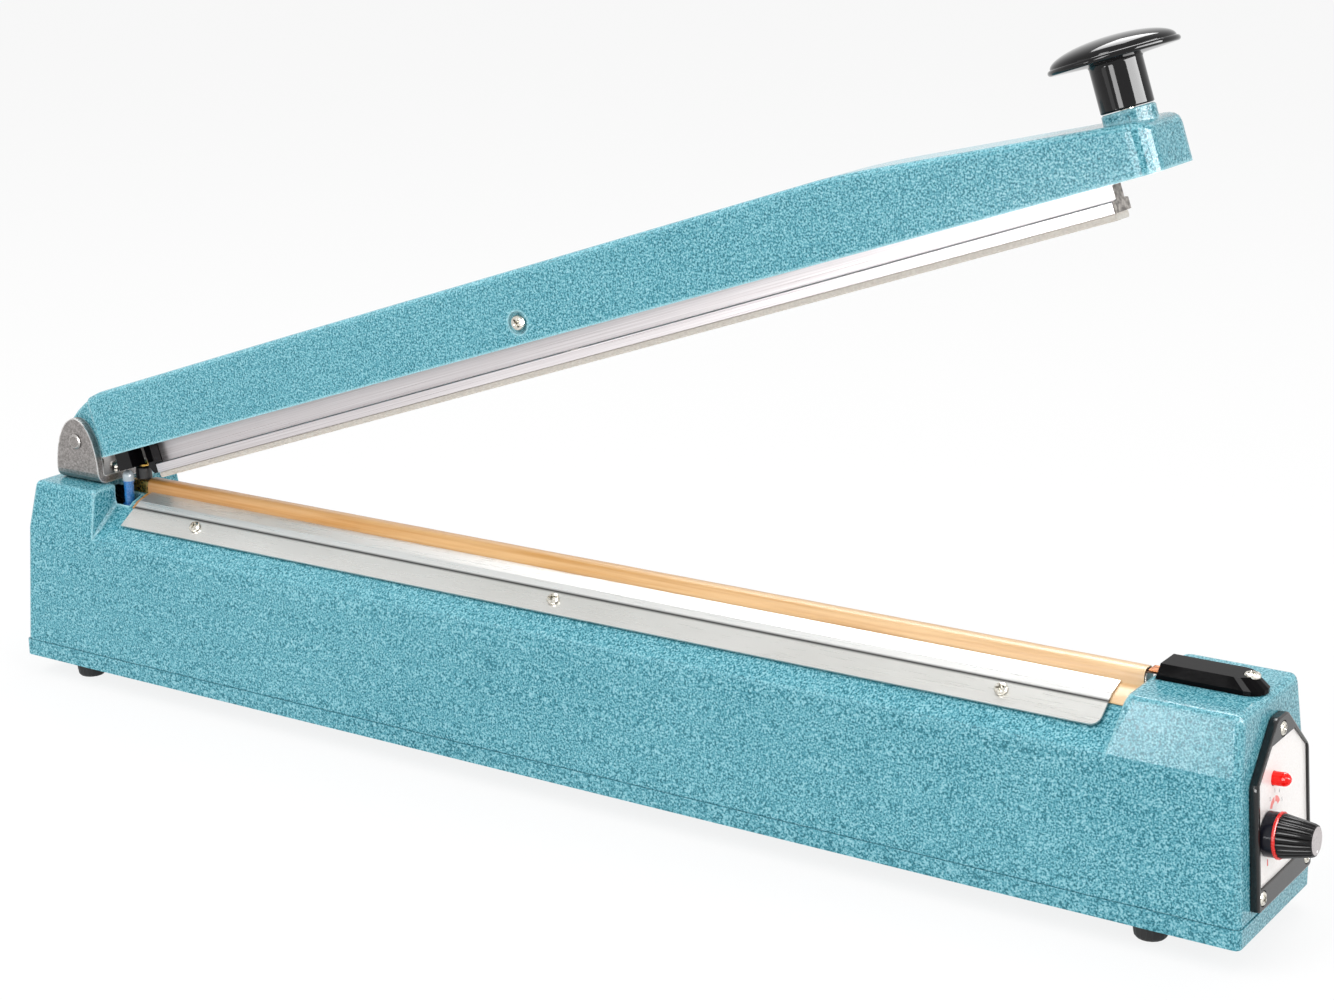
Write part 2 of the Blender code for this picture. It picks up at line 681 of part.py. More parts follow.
def make_cover_plates(housing, steel, screw_steel):
    """Bent strips that clamp the cloth on both slopes, each held by three screws."""
    low = GAP + CLOTH + GAP
    path = roof_path(PLATE_UPPER_HALF, PLATE_LOWER_HALF)
    under = offset_path(path, low)
    over = offset_path(path, low + PLATE)
    for name, side in (("front", -1), ("rear", 1)):
        outline = [(side * half, bench(z)) for half, z in under + list(reversed(over))]
        shape = prism(outline, along(PLATE_START), along(PLATE_END), "x")
        for vertex in shape.verts:
            if vertex.co.x < along(BASE_LENGTH / 2):
                fall = (abs(vertex.co.y) - PLATE_UPPER_HALF) / (PLATE_LOWER_HALF - PLATE_UPPER_HALF)
                vertex.co.x -= PLATE_LEAD * (fall - 1.0)
        corners = [edge for edge in shape.edges
                   if all(abs(v.co.y) > PLATE_LOWER_HALF - 0.0002 and v.co.x > 0 for v in edge.verts)
                   and edge.calc_length() < 2 * PLATE]
        bmesh.ops.bevel(shape, geom=corners, offset=0.004, segments=4, profile=0.5, affect="EDGES")
        plate = finish_mesh(name + "_cover_plate", shape, steel)
        for number, x in enumerate(PLATE_SCREWS, 1):
            carrier = slope_frame(f"{name}_screw_{number}_axis", x, side)
            hole = [(M3_SHANK + GAP, -HOUSING_WALL * 2), (M3_SHANK + GAP, low + PLATE + CUT)]
            cut(plate, f"{name}_plate_hole_{number}", turned(hole, 12), carrier)
            cut(housing, f"{name}_roof_hole_{number}", turned(hole, 12), carrier)
            profile = [(radius, low + PLATE + GAP + level) for radius, level in
                       pan_screw(M3_HEAD, M3_HEAD_HEIGHT, M3_SHANK, 0.007)]
            finish_mesh(f"{name}_plate_screw_{number}", turned(profile, 16), screw_steel, carrier)


# ---------------------------------------------------------------- electrodes
def make_left_electrode(brass, black):
    left, right = along(LEFT_BLOCK + LEFT_STEP + 2 * GAP), along(JAW_START - CLOTH_LEAD - GAP)
    foot = block((left, -POST_RADIUS, bench(ROOF_HEIGHT + GAP)),
                 (right, POST_RADIUS, bench(JAW_TOP + STRIP + GAP)))
    finish_mesh("electrode_foot", foot, brass)
    low = JAW_TOP + STRIP + RIBBON + 3 * GAP
    top = low + BOOT_HEIGHT
    boot = [(M3_SHANK + GAP, low), (BOOT_RADIUS, low), (BOOT_RADIUS, top - 0.0006),
            (BOOT_RADIUS - 0.0006, top), (M3_SHANK + GAP, top)]
    boot = [(radius, bench(level)) for radius, level in boot]
    finish_mesh("electrode_boot", tube_shape(boot, 18, centre=(along(POST_X), 0.0, 0.0)), black)
    screw = [(radius, bench(top + GAP + level)) for radius, level in
             pan_screw(NUT_RADIUS, NUT_HEIGHT, M3_SHANK, BOOT_HEIGHT - 0.001)]
    finish_mesh("electrode_screw", turned(screw, 12, centre=(along(POST_X), 0.0, 0.0)), brass)


def bullet(start, end, half, round_steps=8):
    """Outline with a square end at start and a half-round end, in plan."""
    centre = end - half
    return [(along(start), -half)] + [(along(x), y) for x, y in
                                      arc((centre, 0.0), half, -90, 90, round_steps)] + [(along(start), half)]


def make_right_electrode(housing, copper, black, screw_steel):
    low = JAW_STACK - CLOTH
    finish_mesh("electrode_strip", block((along(COPPER_START), -COPPER_HALF, bench(low)),
                                         (along(COPPER_END), COPPER_HALF, bench(low + COPPER))), copper)
    foot = HOUSING_TOP + GAP
    levels = ((foot, COVER_START, COVER_END, COVER_HALF),
              (foot + COVER_SIDE, COVER_START + 0.0006, COVER_END, COVER_HALF),
              (foot + COVER_HEIGHT, COVER_START + COVER_LEAD, COVER_END - COVER_NOSE, COVER_TOP_HALF))
    rings = [[(x, y, bench(z)) for x, y in bullet(start, end, half)] for z, start, end, half in levels]
    cover = finish_mesh("electrode_cover", rings_shape(rings), black)
    cut(cover, "cover_channel",
        block((along(COVER_START - CUT), -COPPER_HALF - GAP, bench(HOUSING_TOP - CUT)),
              (along(COPPER_END + GAP), COPPER_HALF + GAP, bench(low + COPPER + GAP))))
    x = COVER_SCREW_X
    seat = foot + COVER_HEIGHT - 0.0012
    cut(cover, "cover_screw_recess", turned([(COVER_SCREW_HEAD + GAP, bench(seat)),
                                             (COVER_SCREW_HEAD + GAP, bench(seat + CUT * 2))], 16,
                                            centre=(along(x), 0.0, 0.0)))
    hole = [(M3_SHANK + GAP, bench(HOUSING_TOP - HOUSING_WALL - CUT)), (M3_SHANK + GAP, bench(seat + CUT))]
    for piece, tag in ((cover, "cover"), (housing, "block")):
        cut(piece, tag + "_screw_hole", turned(hole, 12, centre=(along(x), 0.0, 0.0)))
    screw = [(radius, bench(seat + GAP + level)) for radius, level in
             pan_screw(COVER_SCREW_HEAD, M3_HEAD_HEIGHT, M3_SHANK, COVER_HEIGHT + 0.001)]
    finish_mesh("electrode_cover_screw", turned(screw, 16, centre=(along(x), 0.0, 0.0)), screw_steel)


# ---------------------------------------------------------------- hinge
def make_hinge(housing, steel, screw_steel):
    foot = HOUSING_TOP + GAP
    top = PIN_HEIGHT + BRACKET_EAR_TOP
    half, wall, bend = BRACKET_HALF_WIDTH, BRACKET_WALL, BRACKET_BEND
    outer = [(half, top)] + list(reversed(arc((half - bend, foot + bend), bend, -90, 0, 4)))
    outer += [(y, z) for y, z in arc((bend - half, foot + bend), bend, 270, 180, 4)] + [(-half, top)]
    inner_bend = bend - wall
    inner = [(wall - half, top)] + arc((bend - half, foot + bend), inner_bend, 180, 270, 3)
    inner += arc((half - bend, foot + bend), inner_bend, 270, 360, 3) + [(half - wall, top)]
    outline = [(y, bench(z)) for y, z in outer + inner]
    left, right = PIN_X - BRACKET_HALF_LENGTH, PIN_X + BRACKET_HALF_LENGTH
    bracket = finish_mesh("hinge_bracket", prism(outline, along(left), along(right), "x"), steel)
    low = foot + wall
    steps = 14
    ear = [(along(right + CUT), bench(foot - CUT)), (along(right + CUT), bench(foot + wall * 0.6)),
           (along(right), bench(foot + wall * 0.6))]
    ear += [(along(PIN_X + BRACKET_HALF_LENGTH * math.cos(math.pi * k / steps)),
             bench(low + (top - low) * math.sin(math.pi * k / steps))) for k in range(steps + 1)]
    ear += [(along(left), bench(foot + wall * 0.6)), (along(left - CUT), bench(foot + wall * 0.6)),
            (along(left - CUT), bench(foot - CUT))]
    combine(bracket, cutter("ear_outline", prism(ear, -half - CUT, half + CUT, "y")), "INTERSECT")
    reach = half + GAP + PIN_HEAD_HEIGHT
    pin_hole = turned([(PIN_RADIUS + GAP, -reach), (PIN_RADIUS + GAP, reach)], 20, "y",
                      (along(PIN_X), 0.0, bench(PIN_HEIGHT)))
    cut(bracket, "bracket_pin_hole", pin_hole)
    head = half + GAP
    profile = [(0.0, -reach), (PIN_HEAD_RADIUS - 0.0006, -reach), (PIN_HEAD_RADIUS, -head - 0.0004),
               (PIN_HEAD_RADIUS, -head), (PIN_RADIUS, -head), (PIN_RADIUS, head), (PIN_HEAD_RADIUS, head),
               (PIN_HEAD_RADIUS, head + 0.0004), (PIN_HEAD_RADIUS - 0.0006, reach), (0.0, reach)]
    finish_mesh("hinge_pin", turned(profile, 20, "y", (along(PIN_X), 0.0, bench(PIN_HEIGHT))), steel)
    for number, x in enumerate((PIN_X - 0.007, PIN_X + 0.007), 1):
        centre = (along(x), 0.0, 0.0)
        hole = [(M4_SHANK + GAP, bench(HOUSING_TOP - HOUSING_WALL - CUT)), (M4_SHANK + GAP, bench(low + CUT))]
        cut(bracket, f"bracket_hole_{number}", turned(hole, 12, centre=centre))
        cut(housing, f"bracket_block_hole_{number}", turned(hole, 12, centre=centre))
        screw = [(radius, bench(low + GAP + level)) for radius, level in
                 pan_screw(M4_HEAD, M4_HEAD_HEIGHT, M4_SHANK, 0.009)]
        finish_mesh(f"bracket_screw_{number}", turned(screw, 16, centre=centre), screw_steel)


# ---------------------------------------------------------------- arm, in the arm's own frame
def arm_top(u):
    """Height of the arm's top edge: a round heel, a long straight run and a tapered end."""
    heel = ARM_CAVITY_START + 0.005
    if u < heel:
        reach = (heel - u) / (heel - ARM_REAR)
        return ARM_TOP * math.sqrt(max(0.0, 1 - reach * reach))
    bend = 0.015
    if u <= ARM_TAPER_START - bend:
        return ARM_TOP
    if u < ARM_TAPER_START + bend:
        return ARM_TOP - ARM_TAPER * (u - ARM_TAPER_START + bend) ** 2 / (4 * bend)
    return ARM_TOP - ARM_TAPER * (u - ARM_TAPER_START)


def arm_bottom(u):
    heel = 0.002
    if u >= heel:
        return ARM_BOTTOM
    reach = (heel - u) / (heel - ARM_REAR)
    return ARM_BOTTOM * math.sqrt(max(0.0, 1 - reach * reach))


def arm_ring(u, half, low, high, radius):
    """One section of the arm with round upper edges."""
    points = [(u, -half, low)]
    points += [(u, y, v) for y, v in arc((radius - half, high - radius), radius, 180, 90, 3)]
    points += [(u, y, v) for y, v in arc((half - radius, high - radius), radius, 90, 0, 3)]
    return points + [(u, half, low)]


def make_arm(axis, paint):
    tongue = BRACKET_HALF_WIDTH - BRACKET_WALL - GAP
    rings = []
    for u in (ARM_REAR + 0.0004, ARM_REAR + 0.0016, ARM_REAR + 0.004, -0.002, 0.003, 0.009, ARM_SHOULDER):
        high = arm_top(u)
        rings.append(arm_ring(u, tongue, arm_bottom(u), high, min(0.0015, high / 2)))
    width = ARM_HALF_WIDTH
    for run, drop in ((0.00002, 0.0024), (0.0007, 0.0008), (0.0024, 0.0)):
        u = ARM_SHOULDER + run
        rings.append(arm_ring(u, width - drop, ARM_BOTTOM, arm_top(u), ARM_TOP_ROUND))
    for u in (0.024, 0.150, 0.283, 0.440, 0.4475, 0.455, 0.4625, 0.470, 0.520):
        rings.append(arm_ring(u, width, ARM_BOTTOM, arm_top(u), ARM_TOP_ROUND))
    steps = 5
    for k in range(steps + 1):
        turn = math.pi / 2 * k / steps
        u = ARM_LENGTH - ARM_NOSE_ROUND * (1 - math.sin(turn))
        back = 1 - math.cos(turn)
        rings.append(arm_ring(u, width - ARM_NOSE_ROUND * back, ARM_BOTTOM,
                              arm_top(u) - ARM_NOSE_DROP * back, ARM_TOP_ROUND))
    arm = finish_mesh("arm", rings_shape(rings), paint, axis, sharp=30)
    add(arm, "boss", turned([(BOSS_RADIUS, 0.004), (BOSS_RADIUS, BOSS_TOP - 0.0006),
                             (BOSS_RADIUS - 0.0006, BOSS_TOP)], 28, centre=(HANDLE_U, 0.0, 0.0)), axis)
    inside = ARM_TOP - ARM_WALL
    end_top = arm_top(ARM_CAVITY_END) - ARM_WALL
    cavity = [(ARM_CAVITY_START, ARM_BOTTOM - CUT), (ARM_CAVITY_END, ARM_BOTTOM - CUT),
              (ARM_CAVITY_END, end_top), (ARM_TAPER_START - 0.005, inside), (ARM_CAVITY_START, inside)]
    half = width - ARM_WALL
    cut(arm, "arm_cavity", prism(cavity, -half, half, "y"), axis)
    reach = width + CUT
    cut(arm, "arm_pin_hole", turned([(PIN_RADIUS + GAP, -reach), (PIN_RADIUS + GAP, reach)], 20, "y"), axis)
    pivot = (BAR_PIVOT_U, 0.0, BAR_PIVOT_V)
    cut(arm, "arm_pivot_hole", turned([(PIVOT_SCREW_RADIUS + GAP, -reach), (PIVOT_SCREW_RADIUS + GAP, reach)],
                                      14, "y", pivot), axis)
    cut(arm, "arm_pivot_well", turned([(PIVOT_WELL_RADIUS, -reach), (PIVOT_WELL_RADIUS, 0.0012 - width)],
                                      20, "y", pivot), axis)
    cut(arm, "arm_bolt_hole", turned([(HANDLE_BOLT_RADIUS + GAP, ARM_BOTTOM + 0.012),
                                      (HANDLE_BOLT_RADIUS + GAP, BOSS_TOP + CUT)], 16,
                                     centre=(HANDLE_U, 0.0, 0.0)), axis)
    return arm


def make_arm_fittings(axis, black, steel):
    finish_mesh("arm_pad", block((PAD_START, ROD_Y - PAD_HALF, PAD_BOTTOM),
                                 (PAD_END, ROD_Y + PAD_HALF, ARM_BOTTOM - GAP)), black, axis)
    width = ARM_HALF_WIDTH
    seat = width - 0.0012 + GAP
    head = 0.0020
    pivot = (BAR_PIVOT_U, 0.0, BAR_PIVOT_V)
    screw = [(0.0, -seat - head), (PIVOT_HEAD_RADIUS * 0.55, -seat - head),
             (PIVOT_HEAD_RADIUS * 0.88, -seat - head * 0.8), (PIVOT_HEAD_RADIUS, -seat - head * 0.4),
             (PIVOT_HEAD_RADIUS, -seat), (PIVOT_SCREW_RADIUS, -seat), (PIVOT_SCREW_RADIUS, width + 0.0045),
             (0.0, width + 0.0045)]
    finish_mesh("pivot_screw", turned(screw, 18, "y", pivot), steel, axis)
    nut = [(PIVOT_SCREW_RADIUS + GAP, width + GAP), (0.0041, width + GAP), (0.0041, width + 0.0030),
           (PIVOT_SCREW_RADIUS + GAP, width + 0.0030)]
    finish_mesh("pivot_nut", tube_shape(nut, 6, "y", pivot), steel, axis)
    foot = BOSS_TOP + GAP
    bolt = HANDLE_BOLT_RADIUS + GAP
    bore_top = STEM_TOP + 0.0045
    under = STEM_TOP + 0.0012
    rim = under + CAP_RIM
    profile = [(0.0, bore_top), (bolt, bore_top), (bolt, foot), (STEM_RADIUS - 0.0004, foot),
               (STEM_RADIUS, foot + 0.0004), (STEM_RADIUS, STEM_TOP), (CAP_RADIUS - 0.0012, under),
               (CAP_RADIUS, under + CAP_RIM * 0.45), (CAP_RADIUS - 0.0003, rim)]
    steps = 8
    for k in range(1, steps + 1):
        turn = math.pi / 2 * k / steps
        radius = (CAP_RADIUS - 0.0003) * math.cos(turn) if k < steps else 0.0
        profile.append((radius, rim + (CAP_HEIGHT - CAP_RIM) * math.sin(turn)))
    finish_mesh("handle_knob", turned(profile, 36, centre=(HANDLE_U, 0.0, 0.0)), black, axis)
    shank = [(0.0, ARM_BOTTOM + 0.013), (HANDLE_BOLT_RADIUS, ARM_BOTTOM + 0.013),
             (HANDLE_BOLT_RADIUS, bore_top - GAP), (0.0, bore_top - GAP)]
    finish_mesh("handle_stud", turned(shank, 14, centre=(HANDLE_U, 0.0, 0.0)), steel, axis)


def make_pressure_bar(axis, aluminium, rubber, black, steel):
    """The bar in its own frame: the origin is the rocking screw's axis.

    It is a T section: a thin web that hangs on the screw, over a channel that holds the rubber.
    """
    web, flange = BAR_WEB_HALF, BAR_FLANGE_HALF
    shelf = BAR_WEB_BOTTOM
    half = [(web, BAR_TOP), (web, shelf), (flange - 0.0004, shelf), (flange, shelf - 0.0004),
            (flange, BAR_FLANGE_BOTTOM), (flange - BAR_LIP, BAR_FLANGE_BOTTOM),
            (flange - BAR_LIP, shelf - BAR_LIP)]
    section = [(y, v - BAR_PIVOT_V) for y, v in half + [(-y, v) for y, v in reversed(half)]]
    start, end = BAR_START - BAR_PIVOT_U, BAR_END - BAR_PIVOT_U
    bar = finish_mesh("pressure_bar", prism(section, start, end, "x"), aluminium, axis)
    cut(bar, "bar_pivot_hole", turned([(PIVOT_SCREW_RADIUS + GAP, -flange - CUT),
                                       (PIVOT_SCREW_RADIUS + GAP, flange + CUT)], 14, "y"), axis)
    low, seat = RUBBER_BOTTOM - BAR_PIVOT_V, BAR_FLANGE_BOTTOM - GAP - BAR_PIVOT_V
    neck, root = flange - BAR_LIP - GAP, shelf - BAR_LIP - GAP - BAR_PIVOT_V
    soft = 0.0007
    half = [(RUBBER_HALF - soft, low), (RUBBER_HALF, low + soft), (RUBBER_HALF, seat),
            (neck, seat), (neck, root)]
    outline = half + [(-y, v) for y, v in reversed(half)]
    finish_mesh("bar_rubber", prism(outline, start, end, "x"), rubber, axis)
    left = END_BLOCK_START - BAR_PIVOT_U
    top, bottom = BLOCK_TOP - BAR_PIVOT_V, BAR_FLANGE_BOTTOM - BAR_PIVOT_V
    cheek = [(left, top), (start - GAP, top), (start - GAP, bottom), (left + 0.0020, bottom),
             (left, bottom + 0.0040)]
    finish_mesh("bar_end_block", prism(cheek, -flange, flange, "y"), black, axis)
    right = end + GAP
    clip = [(flange, bottom), (flange, shelf - BAR_PIVOT_V), (CLIP_HALF, shelf + 0.0004 - BAR_PIVOT_V),
            (CLIP_HALF, CLIP_TOP - BAR_PIVOT_V)]
    outline = clip + [(-y, v) for y, v in reversed(clip)]
    finish_mesh("bar_end_clip", prism(outline, right, right + CLIP, "x"), steel, axis)


# ---------------------------------------------------------------- push rod and switch
def line_height(v, distance, tilt):
    """Height above the pin of the arm's line v at a distance from the pin, with the arm tilted."""
    return distance * math.tan(tilt) + v / math.cos(tilt)


def rod_centre(tilt):
    """Height of the centre of the rod's round tip when it just clears the pad."""
    return PIN_HEIGHT + line_height(PAD_BOTTOM, ROD_X - PIN_X, tilt) - (COLLAR_RADIUS + GAP) / math.cos(tilt)


ROD_TRAVEL = rod_centre(OPEN_ANGLE) - rod_centre(CLOSED_TILT)
ROD_TIP = rod_centre(OPEN_ANGLE)
ROD_FOOT = ROD_TIP - ROD_LENGTH
BUTTON_TOP = ROD_FOOT - ROD_TRAVEL - GAP + SWITCH_TRAVEL
SWITCH_BASE = BUTTON_TOP - BUTTON_STAND - SWITCH[2]


def make_rod(blue, steel):
    """Rod, its plastic sleeve with the round tip, and the spring below the sleeve."""
    axis = frame_empty("rod_axis", (along(ROD_X), ROD_Y, bench(ROD_TIP)))
    collar = SLEEVE_LENGTH * 0.2
    rod = [(0.0, -ROD_LENGTH), (ROD_RADIUS, -ROD_LENGTH), (ROD_RADIUS, -0.001), (0.0, -0.001)]
    finish_mesh("push_rod", turned(rod, 14), steel, axis)
    bore = ROD_RADIUS + GAP
    sleeve = [(0.0, GAP - 0.001), (bore, GAP - 0.001), (bore, -SLEEVE_LENGTH),
              (SPRING_RADIUS, -SLEEVE_LENGTH), (SPRING_RADIUS, 0.0012 - SLEEVE_LENGTH),
              (SLEEVE_RADIUS, 0.0012 - SLEEVE_LENGTH), (SLEEVE_RADIUS, -collar),
              (COLLAR_RADIUS, -collar), (COLLAR_RADIUS, 0.0)]
    for k in range(1, 5):
        turn = math.pi / 2 * k / 4
        sleeve.append((COLLAR_RADIUS * math.cos(turn) if k < 4 else 0.0, COLLAR_RADIUS * math.sin(turn)))
    finish_mesh("rod_sleeve", turned(sleeve, 18), blue, axis)
    low = bench(GUIDE_TOP) + GAP + SPRING_WIRE
    high = bench(ROD_TIP - SLEEVE_LENGTH) - GAP - SPRING_WIRE
    coil = bpy.data.curves.new("return_spring", "CURVE")
    coil.dimensions = "3D"
    coil.bevel_depth = SPRING_WIRE
    coil.bevel_resolution = 1
    coil.use_fill_caps = True
    steps = SPRING_TURNS * 10
    line = coil.splines.new("POLY")
    line.points.add(steps)
    for k in range(steps + 1):
        turn = 2 * math.pi * SPRING_TURNS * k / steps
        radius = SPRING_RADIUS - SPRING_WIRE
        line.points[k].co = (along(ROD_X) + radius * math.cos(turn), ROD_Y + radius * math.sin(turn),
                             low + (high - low) * k / steps, 1.0)
    spring = bpy.data.objects.new("return_spring", coil)
    bpy.context.scene.collection.objects.link(spring)
    coil.materials.append(steel)


def make_switch(black, red):
    place = (along(ROD_X), ROD_Y)
    base = bench(SWITCH_BASE)
    body = block((place[0] - SWITCH[0] / 2, place[1] - SWITCH[1] / 2, base),
                 (place[0] + SWITCH[0] / 2, place[1] + SWITCH[1] / 2, base + SWITCH[2]))
    switch = finish_mesh("end_switch", body, black)
    bore = BUTTON_RADIUS + GAP
    cut(switch, "button_bore", turned([(bore, base + SWITCH[2] - 0.0030), (bore, base + SWITCH[2] + CUT)], 12,
                                      centre=(place[0], place[1], 0.0)))
    axis = frame_empty("button_axis", (place[0], place[1], bench(BUTTON_TOP)))
    low = -BUTTON_STAND - 0.0030 + SWITCH_TRAVEL + GAP
    button = [(0.0, low), (BUTTON_RADIUS, low), (BUTTON_RADIUS, -0.0003),
              (BUTTON_RADIUS - 0.0003, 0.0), (0.0, 0.0)]
    finish_mesh("switch_button", turned(button, 12), red, axis)


# ---------------------------------------------------------------- control panel
def panel_height(height):
    """Distance up the end wall of a level above the tray's underside."""
    return (height - TRAY_HEIGHT) / math.cos(PANEL_TILT)


def bezel_outline(inset=0.0, low=BEZEL_BOTTOM, high=BEZEL_TOP):
    """The bezel's outline from the lower left, drawn in by inset and cut at two levels."""
    def half(z):
        if z <= BEZEL_SHOULDER:
            mix = (z - BEZEL_BOTTOM) / (BEZEL_SHOULDER - BEZEL_BOTTOM)
            return BEZEL_HALF + (BEZEL_SHOULDER_HALF - BEZEL_HALF) * mix - inset
        mix = (z - BEZEL_SHOULDER) / (BEZEL_TOP - BEZEL_SHOULDER)
        return BEZEL_SHOULDER_HALF + (BEZEL_TOP_HALF - BEZEL_SHOULDER_HALF) * mix - inset * 1.4
    levels = (low, BEZEL_SHOULDER, high)
    right = [(half(z), panel_height(z)) for z in levels]
    return [(BEZEL_Y - y, z) for y, z in reversed(right)] + [(BEZEL_Y + y, z) for y, z in right]


def make_panel(housing, black, steel, red):
    foot = (along(BASE_LENGTH - HOUSING_INSET), 0.0, bench(TRAY_HEIGHT))
    panel = frame_empty("panel_axis", foot, PANEL_TILT)
    shape = prism(bezel_outline(), GAP, GAP + BEZEL_DEPTH, "x")
    upright = [edge for edge in shape.edges
               if abs(edge.verts[0].co.x - edge.verts[1].co.x) > BEZEL_DEPTH / 2]
    bmesh.ops.bevel(shape, geom=upright, offset=BEZEL_CORNER, segments=3, profile=0.5, affect="EDGES")
    front = [edge for edge in shape.edges if all(v.co.x > GAP + BEZEL_DEPTH * 0.9 for v in edge.verts)]
    bmesh.ops.bevel(shape, geom=front, offset=0.0007, segments=2, profile=0.5, affect="EDGES")
    bezel = finish_mesh("panel_bezel", shape, black, panel)
    floor = GAP + BEZEL_DEPTH - BEZEL_RECESS
    cut(bezel, "label_recess", prism(bezel_outline(BEZEL_RIM, BEZEL_STRIP, BEZEL_CROWN), floor,
                                     floor + CUT * 2, "x"), panel)
    knob_centre = (0.0, KNOB_Y, panel_height(KNOB_Z))
    lamp_centre = (0.0, LAMP_Y, panel_height(LAMP_Z))
    inside = -HOUSING_WALL - CUT * 2
    openings = (("shaft", SHAFT_RADIUS + GAP, knob_centre), ("lamp", LAMP_RADIUS + GAP, lamp_centre))
    for tag, radius, centre in openings:
        for piece in (bezel, housing):
            cut(piece, f"{tag}_hole_{piece.name}",
                turned([(radius, inside), (radius, floor + CUT)], 18, "x", centre), panel)
    lamp = [(0.0, -HOUSING_WALL - 0.004), (LAMP_RADIUS, -HOUSING_WALL - 0.004),
            (LAMP_RADIUS, floor + LAMP_LENGTH - LAMP_RADIUS)]
    lamp += [(LAMP_RADIUS * math.cos(math.pi / 2 * k / 4) if k < 4 else 0.0,
              floor + LAMP_LENGTH - LAMP_RADIUS * (1 - math.sin(math.pi / 2 * k / 4))) for k in range(1, 5)]
    finish_mesh("pilot_lamp", turned(lamp, 18, "x", lamp_centre), red, panel)
    seat = GAP + BEZEL_DEPTH - 0.0011
    for tag, y, z in BEZEL_SCREWS:
        centre = (0.0, BEZEL_Y + y, panel_height(z))
        well = [(M3_HEAD + 0.0004, seat), (M3_HEAD + 0.0004, seat + CUT)]
        cut(bezel, "screw_well_" + tag, turned(well, 16, "x", centre), panel)
        for piece in (bezel, housing):
            cut(piece, f"screw_hole_{tag}_{piece.name}",
                turned([(M3_SHANK + GAP, inside), (M3_SHANK + GAP, seat + CUT / 2)], 12, "x", centre), panel)
        screw = [(radius, seat + GAP + level) for radius, level in
                 pan_screw(M3_HEAD, M3_HEAD_HEIGHT * 0.8, M3_SHANK, HOUSING_WALL + 0.003)]
        finish_mesh("bezel_screw_" + tag, turned(screw, 16, "x", centre), steel, panel)
    return panel, knob_centre, floor


def fluted_ring(radius, level, depth=0.0):
    """A ring of a knob; every other point drops in by the flute's depth."""
    count = 2 * KNOB_FLUTES
    return [(level, (radius - depth * (k % 2)) * math.cos(2 * math.pi * k / count),
             (radius - depth * (k % 2)) * math.sin(2 * math.pi * k / count)) for k in range(count)]


def make_timer(panel, centre, floor, black, steel, board_look):
    axis = frame_empty("knob_axis", centre, parent=panel)
    base = floor + GAP
    ring = base + KNOB_RING_START
    grip = ring + KNOB_RING_WIDTH
    top = base + KNOB_LENGTH
    flute = 0.0007
    rings = [fluted_ring(KNOB_SKIRT, base), fluted_ring(KNOB_SKIRT, ring), fluted_ring(KNOB_RING, ring),
             fluted_ring(KNOB_RING, grip), fluted_ring(KNOB_GRIP, grip + 0.0003, flute),
             fluted_ring(KNOB_TIP + 0.0003, top - 0.0012, flute), fluted_ring(KNOB_TIP - 0.0006, top)]
    knob = finish_mesh("timer_knob", rings_shape(rings), black, axis, sharp=25)
    bore = SHAFT_RADIUS + GAP
    grip_depth = 0.011
    cut(knob, "knob_bore", turned([(bore, base - CUT), (bore, base + grip_depth)], 18, "x"), axis)
    shaft = [(0.0, -HOUSING_WALL - POT_DEPTH), (SHAFT_RADIUS, -HOUSING_WALL - POT_DEPTH),
             (SHAFT_RADIUS, base + grip_depth - GAP), (0.0, base + grip_depth - GAP)]
    finish_mesh("timer_shaft", turned(shaft, 18, "x"), steel, axis)
    front = -HOUSING_WALL - GAP
    back = front - POT_DEPTH - 0.001
    pot = [(bore, front), (POT_RADIUS, front), (POT_RADIUS, back), (bore, back)]
    finish_mesh("timer_pot", tube_shape(pot, 20, "x", centre), steel, panel)
    board = block((back - GAP - BOARD[0], -BOARD[1] / 2, centre[2] - BOARD[2] / 2),
                  (back - GAP, BOARD[1] / 2, centre[2] + BOARD[2] / 2))
    finish_mesh("timer_board", board, board_look, panel)


# ---------------------------------------------------------------- inside and at the back
def make_transformer(steel, copper):
    x, z = along(TRANSFORMER_X), bench(TRAY_WALL + GAP)
    length, depth, height = CORE
    core = finish_mesh("transformer_core", block((x - length / 2, -depth / 2, z), (x + length / 2, depth / 2,
                                                                                   z + height)), steel)
    leg, window, yoke = 0.008, 0.0105, (height - COIL[2]) / 2
    for side in (-1, 1):
        sides = sorted((x + side * leg, x + side * (leg + window)))
        cut(core, f"window_{'left' if side < 0 else 'right'}",
            block((sides[0], -depth, z + yoke), (sides[1], depth, z + height - yoke)))
    outer = rounded_rectangle(COIL[0] / 2, COIL[1] / 2, 0.004, 3)
    coil = finish_mesh("transformer_coil", prism([(x + a, b) for a, b in outer], z + yoke + GAP,
                                                 z + height - yoke - GAP, "z"), copper)
    cut(coil, "coil_bore", block((x - leg - GAP, -depth / 2 - GAP, z + yoke - CUT),
                                 (x + leg + GAP, depth / 2 + GAP, z + height - yoke + CUT)))


def make_terminals(cream):
    x, z = along(0.545), bench(TRAY_WALL + GAP)
    outline = [(-0.009, z), (0.009, z), (0.009, z + 0.006), (0.005, z + 0.006), (0.005, z + 0.014),
               (-0.005, z + 0.014), (-0.005, z + 0.006), (-0.009, z + 0.006)]
    finish_mesh("terminal_block", prism(outline, x - 0.016, x + 0.016, "x"), cream)


